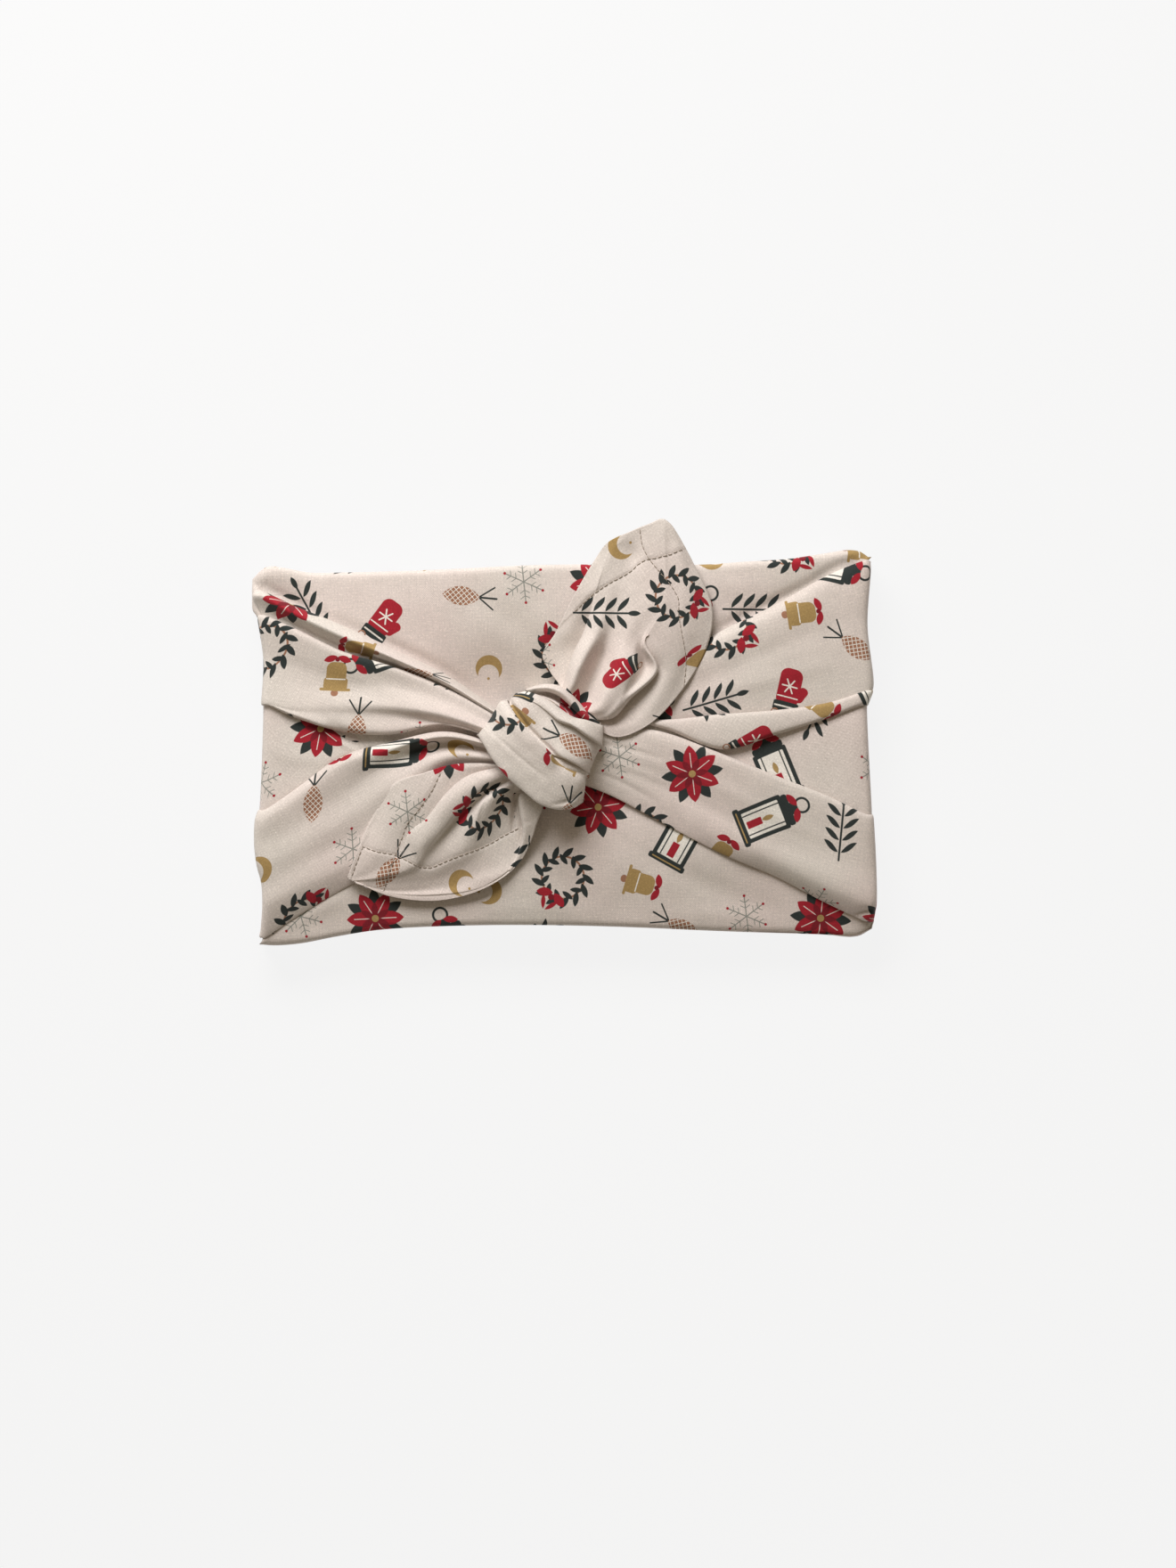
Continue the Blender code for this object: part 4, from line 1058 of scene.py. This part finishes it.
# %% Sewing thread
TWISTS = 2500            # in a metre of thread: one is 0.4 mm long, as long as the thread is thick


def cotton_thread():
    """Mercerised cotton sewing thread, twisted: a soft sheen, and fine noise for its twist in both
    tone and relief.
    """
    mat = bpy.data.materials.new("cotton_thread")
    mat.use_nodes = True
    tree = mat.node_tree
    shader = tree.nodes["Principled BSDF"]
    place = add(tree, "ShaderNodeTexCoord", out=3)
    twist = add(tree, "ShaderNodeTexNoise", add(tree, "V_MULTIPLY", place, (TWISTS,) * 3))
    # Partly painted shade: the thread is a pale grey-beige, and it is drawn in darker tones so that
    # the stitches read as the dark dashes that their own shade makes.
    tone = add(tree, "ShaderNodeMix", twist, None, None, None, None, None, linear("8f8377"),
               linear("b3a799"), data_type="RGBA", out=2)
    tree.links.new(tone, shader.inputs["Base Color"])
    bump = add(tree, "ShaderNodeBump", 0.3, 0.0001, None, twist)
    tree.links.new(bump, shader.inputs["Normal"])
    shader.inputs["Roughness"].default_value = 0.6
    return mat


THREAD = cotton_thread()
print("thread:", len(THREAD.node_tree.nodes), "nodes")

# %% Sew the hems
STITCH = {"Stitch length": 2.1 * MM, "Gap": 0.7 * MM, "Thread radius": 0.2 * MM, "Seed": 7}
SEAM_PITCH = 1.0         # mm between the points of a seam's path
SEAM_LIFT = 0.05         # mm that the path lies over the cloth
HIGH = 1.0               # metres up, from where a ray looks down for the cloth


def sew(name, cloth, seams):
    """Lays each seam on top of the cloth as a path, runs the tree and keeps a plain mesh."""
    bpy.context.view_layer.update()
    points, ups, edges = [], [], []
    for seam in seams:
        line = np.array(seam, float)[:, None, :]
        line = smooth(line, spans(line, SEAM_PITCH))[:, 0]
        start = len(points)
        for x, y in line:
            hit, place, normal, _ = cloth.ray_cast((x * MM, y * MM, HIGH), (0.0, 0.0, -1.0))
            if hit:
                points.append(place + normal * SEAM_LIFT * MM)
                ups.append(normal)
        edges += [(i, i + 1) for i in range(start, len(points) - 1)]
    mesh = bpy.data.meshes.new(name + "_path")
    mesh.from_pydata(points, edges, [])
    up = mesh.attributes.new("up", "FLOAT_VECTOR", "POINT")
    up.data.foreach_set("vector", np.array(ups).ravel())
    path = bpy.data.objects.new(name + "_path", mesh)
    bpy.context.scene.collection.objects.link(path)
    sewing = path.modifiers.new("sewing", "NODES")
    sewing.node_group = SEWING
    for item in SEWING.interface.items_tree:
        if item.name in STITCH:
            sewing[item.identifier] = STITCH[item.name]
        elif item.name == "Thread":
            sewing[item.identifier] = THREAD
    bpy.context.view_layer.update()
    sewn = path.evaluated_get(bpy.context.evaluated_depsgraph_get())
    plain = bpy.data.meshes.new_from_object(sewn)
    bpy.data.objects.remove(path)
    plain.materials.clear()
    plain.materials.append(THREAD)
    plain.polygons.foreach_set("material_index", [0] * len(plain.polygons))
    obj = bpy.data.objects.new(name, plain)
    bpy.context.scene.collection.objects.link(obj)
    print(name, len(plain.polygons), "faces,", len(plain.materials), "material")
    return obj


upper_stitches = sew("upper_corner_stitches", pieces["upper_corner"], UPPER_SEAMS)
lower_stitches = sew("lower_corner_stitches", pieces["lower_corner"], LOWER_SEAMS)

# %% [markdown]
# ## The printed cotton
# Plain-woven cotton, printed in a few colours on an undyed ground. The print is this lesson's
# own: leafy twigs, six-petalled flowers, wreaths, lanterns, mittens, bells, fir cones, frost
# crystals and moons, tossed at about the scale of the photographed one. It could be a picture,
# but a drawing made of nodes stays sharp at any distance. It is drawn on the flat map with a
# few simple shapes, each the distance to a bar, a leaf or a ring.

# %% Shapes of the print
PRINT_SOFT = 0.12        # how far the ink spreads at a shape's border, mm


def inside(tree, distance, reach=0.0, soft=PRINT_SOFT):
    """How fully a place is inked: 1 where its distance is under the reach, 0 past it."""
    return add(tree, "ShaderNodeMapRange", distance, reach - soft, reach + soft, 1.0, 0.0)


def bar(tree, p, x, y, half_x, half_y, r):
    """A rounded bar, or a round dot when both halves are 0."""
    q = add(tree, "V_SUBTRACT", p, (x, y, 0))
    if half_x or half_y:
        q = add(tree, "V_SUBTRACT", add(tree, "V_ABSOLUTE", q), (half_x, half_y, 0))
        q = add(tree, "V_MAXIMUM", q, (0, 0, 0))
    return inside(tree, add(tree, "V_LENGTH", q), r)


def leaf(tree, p, x, y, half, width, turn=0):
    """A pointed leaf along X, or turned by some degrees: where two large circles overlap."""
    if turn:
        p = add(tree, "ShaderNodeVectorRotate", p, (x, y, 0), (0, 0, 1), math.radians(turn))
    r = (half * half + width * width) / (2 * width)
    q = add(tree, "V_ABSOLUTE", add(tree, "V_SUBTRACT", p, (x, y, 0)))
    return inside(tree, add(tree, "V_LENGTH", add(tree, "V_ADD", q, (0, r - width, 0))), r)


def ring(tree, p, x, y, r, half):
    gap = add(tree, "SUBTRACT", add(tree, "V_LENGTH", add(tree, "V_SUBTRACT", p, (x, y, 0))), r)
    return inside(tree, add(tree, "ABSOLUTE", gap), half)


def wedge(tree, p, count, turn=0.0):
    """Folds the plane into one of count equal wedges, whose middle is along X."""
    x, y = (add(tree, "ShaderNodeSeparateXYZ", p, out=i) for i in (0, 1))
    step = 2 * math.pi / count
    angle = add(tree, "ADD", add(tree, "ARCTAN2", y, x), 4 * math.pi + step / 2 + turn)
    angle = add(tree, "SUBTRACT", add(tree, "MODULO", angle, step), step / 2)
    radius = add(tree, "V_LENGTH", p)
    return add(tree, "ShaderNodeCombineXYZ",
               add(tree, "MULTIPLY", add(tree, "COSINE", angle), radius),
               add(tree, "MULTIPLY", add(tree, "SINE", angle), radius), 0.0)


def stripes(tree, value, pitch, width):
    """Lines across a value, a pitch apart."""
    return inside(tree, add(tree, "PINGPONG", value, pitch / 2), width / 2)


print("ink spreads", PRINT_SOFT, "mm")

# %% Inks, and the leafy motifs
# Each motif is a list of (shape, ink), the lowest first. Its sizes are in mm.
INK = {"green": "2e3534", "red": "a3212f", "gold": "a98d5b", "white": "ece8e0",
       "brown": "a0745c", "dark_red": "7d1a26", "grey": "8f918a"}


def twig(tree, p):
    x, y = (add(tree, "ShaderNodeSeparateXYZ", p, out=i) for i in (0, 1))
    up = add(tree, "ABSOLUTE", y)
    slant = add(tree, "SUBTRACT", x, add(tree, "MULTIPLY", up, 0.75))
    rise = add(tree, "DIVIDE", add(tree, "SUBTRACT", up, 3.9), 3.3)
    width = add(tree, "SUBTRACT", 1.0, add(tree, "MULTIPLY", rise, rise))
    width = add(tree, "MULTIPLY", width, 1.5)
    leaves = inside(tree, add(tree, "SUBTRACT", add(tree, "PINGPONG", slant, 2.7), width))
    reach = inside(tree, add(tree, "ABSOLUTE", add(tree, "ADD", slant, 2.7)), 11.0, 0.05)
    return [(add(tree, "MULTIPLY", leaves, reach), "green"),
            (bar(tree, p, -1, 0, 13.0, 0, 0.45), "green"),
            (leaf(tree, p, 13.2, 0, 3.0, 1.2), "green")]


def flower(tree, p):
    six, between_six = wedge(tree, p, 6), wedge(tree, p, 6, math.pi / 6)
    return [(leaf(tree, between_six, 7.0, 0, 6.2, 2.5), "green"),
            (leaf(tree, six, 6.0, 0, 6.2, 3.0), "red"),
            (bar(tree, six, 5.5, 0, 3.4, 0, 0.16), "white"),
            (leaf(tree, between_six, 3.4, 0, 3.4, 1.4), "dark_red"),
            (bar(tree, p, 0, 0, 0, 0, 1.5), "gold")]


def wreath(tree, p):
    outer, inner = wedge(tree, p, 13), wedge(tree, p, 11, 0.2)
    return [(ring(tree, p, 0, 0, 10.8, 0.5), "brown"),
            (leaf(tree, outer, 12.8, 0, 4.0, 1.5, 38), "green"),
            (leaf(tree, inner, 9.4, 0, 3.4, 1.3, -38), "green"),
            (leaf(tree, p, 4.2, -11, 4.2, 2.2, 24), "red"),
            (leaf(tree, p, -4.2, -11, 4.2, 2.2, -24), "red"),
            (leaf(tree, p, 2.4, -15.4, 4.0, 1.1, -62), "red"),
            (leaf(tree, p, -2.4, -15.4, 4.0, 1.1, 62), "red"),
            (bar(tree, p, 0, -11.6, 0, 0, 1.6), "dark_red")]


print(len(INK), "inks")


# %% Lantern, mitten and bell
def lantern(tree, p):
    mirrored = add(tree, "V_MULTIPLY", add(tree, "V_ABSOLUTE", p), (1, 1, 0))
    return [(ring(tree, p, 0, 17.0, 3.0, 0.5), "green"),
            (bar(tree, p, 0, 13.2, 1.6, 0.8, 1.0), "green"),
            (bar(tree, p, 0, 10.6, 5.6, 0.3, 1.2), "green"),
            (bar(tree, p, 0, -0.5, 6.6, 9.0, 0.9), "green"),
            (bar(tree, p, 0, -0.5, 5.2, 7.7, 0.5), "white"),
            (bar(tree, p, 0, -4.6, 1.3, 3.0, 0.3), "red"),
            (leaf(tree, p, 0, 1.4, 2.6, 1.1, 90), "gold"),
            (bar(tree, mirrored, 4.2, 0, 0, 8.4, 0.28), "green"),
            (bar(tree, p, 0, -10.6, 7.6, 0.4, 0.9), "green"),
            (bar(tree, p, 0, -10.6, 6.6, 0, 0.28), "gold"),
            (leaf(tree, p, 3.4, 13.6, 3.2, 1.5, 24), "red"),
            (leaf(tree, p, -3.4, 13.6, 3.2, 1.5, -24), "red")]


def mitten(tree, p):
    patch = wedge(tree, add(tree, "V_SUBTRACT", p, (0, 2.6, 0)), 6)
    thumb = add(tree, "ShaderNodeVectorRotate", p, (4.6, -2.0, 0), (0, 0, 1), math.radians(24))
    return [(bar(tree, thumb, 5.4, 0.2, 0.2, 2.0, 2.1), "red"),
            (bar(tree, p, 0, 2.0, 1.6, 5.4, 3.9), "red"),
            (bar(tree, patch, 2.0, 0, 1.6, 0, 0.34), "white"),
            (bar(tree, p, 0, -2.8, 4.9, 0, 0.3), "white"),
            (bar(tree, p, 0, -7.6, 5.2, 1.5, 1.0), "green"),
            (bar(tree, p, 0, -7.6, 5.2, 0, 0.4), "white"),
            (ring(tree, p, -4.6, -11.2, 1.7, 0.3), "brown")]


def bell(tree, p):
    return [(bar(tree, p, 0, -9.2, 0.2, 0, 1.7), "brown"),
            (bar(tree, p, 0, 0, 1.6, 3.2, 3.6), "gold"),
            (bar(tree, p, 0, -4.4, 4.6, 1.4, 1.6), "gold"),
            (bar(tree, p, 0, -7.4, 7.2, 0, 0.75), "gold"),
            (bar(tree, p, 0, -2.0, 4.7, 0, 0.3), "white"),
            (leaf(tree, p, 3.6, 8.4, 3.6, 1.7, 20), "red"),
            (leaf(tree, p, -3.6, 8.4, 3.6, 1.7, -20), "red"),
            (bar(tree, p, 0, 8.2, 0, 0, 1.2), "dark_red")]


# %% Fir cone, moon and frost
def fir_cone(tree, p):
    x, y = (add(tree, "ShaderNodeSeparateXYZ", p, out=i) for i in (0, 1))
    up = stripes(tree, add(tree, "ADD", x, y), 2.8, 0.5)
    down = stripes(tree, add(tree, "SUBTRACT", x, y), 2.8, 0.5)
    body = leaf(tree, p, 0, 0, 9.6, 4.9)
    needles = [add(tree, "ShaderNodeVectorRotate", p, (-9, 0, 0), (0, 0, 1), math.radians(turn))
               for turn in (36, -36)]
    return [*((bar(tree, needle, -14.0, 0, 4.6, 0, 0.4), "green") for needle in needles),
            (bar(tree, p, -13.0, 0, 5.2, 0, 0.5), "green"),
            (body, "brown"),
            (add(tree, "MULTIPLY", body, add(tree, "MAXIMUM", up, down)), "white")]


def moon(tree, p):
    hollow = inside(tree, add(tree, "V_DISTANCE", p, (3.0, 1.4, 0)), 5.3)
    disc = bar(tree, p, 0, 0, 0, 0, 6.8)
    return [(add(tree, "MULTIPLY", disc, add(tree, "SUBTRACT", 1.0, hollow)), "gold"),
            (bar(tree, p, 4.6, 2.2, 0, 0, 0.7), "gold")]


def frost(tree, p):
    six = add(tree, "V_ABSOLUTE", wedge(tree, p, 6))
    x, y = (add(tree, "ShaderNodeSeparateXYZ", six, out=i) for i in (0, 1))
    slant = add(tree, "SUBTRACT", x, add(tree, "MULTIPLY", y, 0.6))
    barbs = add(tree, "MULTIPLY", stripes(tree, add(tree, "ADD", slant, 1.5), 3.0, 0.5),
                inside(tree, y, 2.6, 0.05))
    reach = inside(tree, add(tree, "ABSOLUTE", add(tree, "SUBTRACT", slant, 6.0)), 3.4, 0.05)
    return [(bar(tree, six, 5.4, 0, 5.4, 0, 0.3), "grey"),
            (add(tree, "MULTIPLY", barbs, reach), "grey"),
            (bar(tree, six, 11.2, 0, 0, 0, 0.75), "red")]


# %% [markdown]
# ## Where the motifs go
# The print repeats on a half-drop grid, and each cell holds the nine motifs about 38 mm apart,
# each turned its own way in every cell, as a tossed print is.

# %% The layout of the print
CELL = 114.0             # mm; one repeat of a furnishing print is often about this
# Each motif with its place in the cell in mm, and how much larger it is printed.
LAYOUT = ((lantern, 1, 2, 1.2), (twig, 40, 6, 1.15), (mitten, 78, 0, 1.05),
          (moon, 18, 33, 1.0), (wreath, 56, 40, 1.0), (bell, 96, 37, 1.0),
          (fir_cone, 4, 70, 1.0), (frost, 36, 77, 0.95), (flower, 74, 76, 1.2))


def placed(tree, flat, x, y, size, seed):
    """The motif's own coordinates in mm: the nearest copy on the grid, turned at random."""
    p = add(tree, "V_SUBTRACT", flat, (x, y, 0))
    column = add(tree, "FLOOR", add(tree, "DIVIDE", add(tree, "ShaderNodeSeparateXYZ", p), CELL))
    drop = add(tree, "ShaderNodeCombineXYZ", 0.0, add(tree, "MULTIPLY", column, CELL / 2), 0.0)
    p = add(tree, "V_DIVIDE", add(tree, "V_SUBTRACT", p, drop), (CELL, CELL, 1))
    cell = add(tree, "V_FLOOR", p)
    p = add(tree, "V_SUBTRACT", add(tree, "V_SUBTRACT", p, cell), (0.5, 0.5, 0))
    p = add(tree, "V_MULTIPLY", p, (CELL / size, CELL / size, 0))
    chance = add(tree, "ShaderNodeTexWhiteNoise", add(tree, "V_ADD", cell, (seed, seed * 1.7, 0)),
                 noise_dimensions="2D")
    return add(tree, "ShaderNodeVectorRotate", p, (0, 0, 0), (0, 0, 1),
               add(tree, "MULTIPLY", chance, 2 * math.pi))


print(len(LAYOUT), "motifs in a cell of", CELL, "mm")

# %% The printed cotton
# Scales are lumps per mm of flat cloth, so each is 1 over a real size in mm.
SLUB = (0.12, 1.3)       # a thicker stretch of yarn is about 8 mm long and 0.8 mm thick
GRAIN = 1.1              # fibres lie in tufts about 1 mm across, and the palest show as flecks
CLOUD = 0.065            # a faint cloudiness over 15 mm
DRIFT = 0.012            # painted shade tint: the ground wanders at random from greyish to rosy over about 80 mm
THREADS = 7.0            # radians a mm: drawn 0.9 mm apart to show; real ones lie 0.3 mm apart
PAINTED_SHADE_GREY, ROSY = "dad3cb", "ded1cb"


def printed_cotton():
    """Plain-woven cotton, reactive print: matt, a little slubby, ink sunk into the threads."""
    mat = bpy.data.materials.new("printed_cotton")
    mat.use_nodes = True
    tree = mat.node_tree
    shader = tree.nodes["Principled BSDF"]
    flat = add(tree, "ShaderNodeUVMap", uv_map="cloth")
    flat = add(tree, "V_MULTIPLY", flat, (1000, 1000, 0))
    warp, weft = (add(tree, "ShaderNodeTexNoise", add(tree, "V_MULTIPLY", flat, scale + (1,)),
                      None, 1.0, 1.0) for scale in (SLUB, SLUB[::-1]))
    slub = add(tree, "SUBTRACT", add(tree, "ADD", warp, weft), 1.0)
    grain = add(tree, "ShaderNodeTexNoise", flat, None, GRAIN, 2.0, 0.6)
    fleck = add(tree, "ShaderNodeMapRange", grain, 0.60, 0.74, 0.0, 1.0)
    cloud = add(tree, "SUBTRACT", add(tree, "ShaderNodeTexNoise", flat, None, CLOUD, 2.0), 0.5)
    x, y = (add(tree, "ShaderNodeSeparateXYZ", flat, out=i) for i in (0, 1))
    threads = add(tree, "MULTIPLY", add(tree, "SINE", add(tree, "MULTIPLY", x, THREADS)),
                  add(tree, "SINE", add(tree, "MULTIPLY", y, THREADS)))
    # How much each shades the cloth. Grain is 0.5 on the whole, so half its share comes off.
    tone = 1.0 - 0.22
    for part, share in ((slub, 0.20), (threads, 0.03), (grain, 0.44), (fleck, 0.20),
                        (cloud, 0.10)):
        tone = add(tree, "MULTIPLY_ADD", part, share, tone)
    # Painted shade tint, placed at random: the greyish tone stands for cloth in soft shade.
    drift = add(tree, "ShaderNodeTexNoise", flat, None, DRIFT, 1.0)
    drift = add(tree, "ShaderNodeMapRange", drift, 0.35, 0.65, 0.0, 1.0)
    colour = add(tree, "ShaderNodeMix", drift, None, None, None, None, None, linear(PAINTED_SHADE_GREY),
                 linear(ROSY), data_type="RGBA", out=2)
    for i, (motif, mx, my, size) in enumerate(LAYOUT):
        p = placed(tree, flat, mx, my, size, 3.1 + 7 * i)
        for mask, ink in motif(tree, p):
            colour = add(tree, "ShaderNodeMix", mask, None, None, None, None, None, colour,
                         linear(INK[ink]), data_type="RGBA", out=2)
    tone = add(tree, "ShaderNodeCombineXYZ", tone, tone, tone)
    tree.links.new(add(tree, "V_MULTIPLY", colour, tone), shader.inputs["Base Color"])
    height = add(tree, "MULTIPLY_ADD", grain, 0.8, threads)
    height = add(tree, "MULTIPLY_ADD", slub, 1.2, height)
    bump = add(tree, "ShaderNodeBump", 0.35, 0.00012, None, height)
    tree.links.new(bump, shader.inputs["Normal"])
    shader.inputs["Roughness"].default_value = 0.9
    shader.inputs["Specular IOR Level"].default_value = 0.25
    shader.inputs["Sheen Weight"].default_value = 0.15
    shader.inputs["Sheen Roughness"].default_value = 0.5
    print("print and weave:", len(tree.nodes), "nodes")
    return mat


cotton = printed_cotton()
for piece in pieces.values():
    piece.data.materials.append(cotton)

# %% [markdown]
# ## The sheets on the body
# Every sheet and both rows of stitches ride on the one body, and the imported cloth is hidden.
# The table gives how large a part of the 700 mm square each sheet was before it was folded,
# and each sheet's area of cloth is printed beside it.

SHEETS = {"cloth_body": ((0.38, 0.375), "folded"),
          "left_band": ((0.175, 0.155), "gathered"),
          "right_band": ((0.175, 0.16), "gathered"),
          "knot_front_turn": ((0.075, 0.045), "gathered"),
          "knot_second_turn": ((0.075, 0.046), "gathered"),
          "knot_top_loop": ((0.066, 0.043), "gathered"),
          "knot_inner_fold": ((0.03, 0.023), "gathered"),
          "upper_corner": ((0.11, 0.071), "folded"),
          "lower_corner": ((0.11, 0.061), "folded")}
SEWN = {"upper_corner": upper_stitches, "lower_corner": lower_stitches}
for stitches in SEWN.values():
    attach(stitches, "root")
    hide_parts("furoshiki_cloth")
for name, (size, held) in SHEETS.items():
    piece = pieces[name]
    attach(piece, "root")
    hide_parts("furoshiki_cloth")
    area = sum(p.area for p in piece.data.polygons)
    print(name, "cloth", round(area, 4), "flat", round(size[0] * size[1], 4),
          "share", round(area / size[0] / size[1], 2))
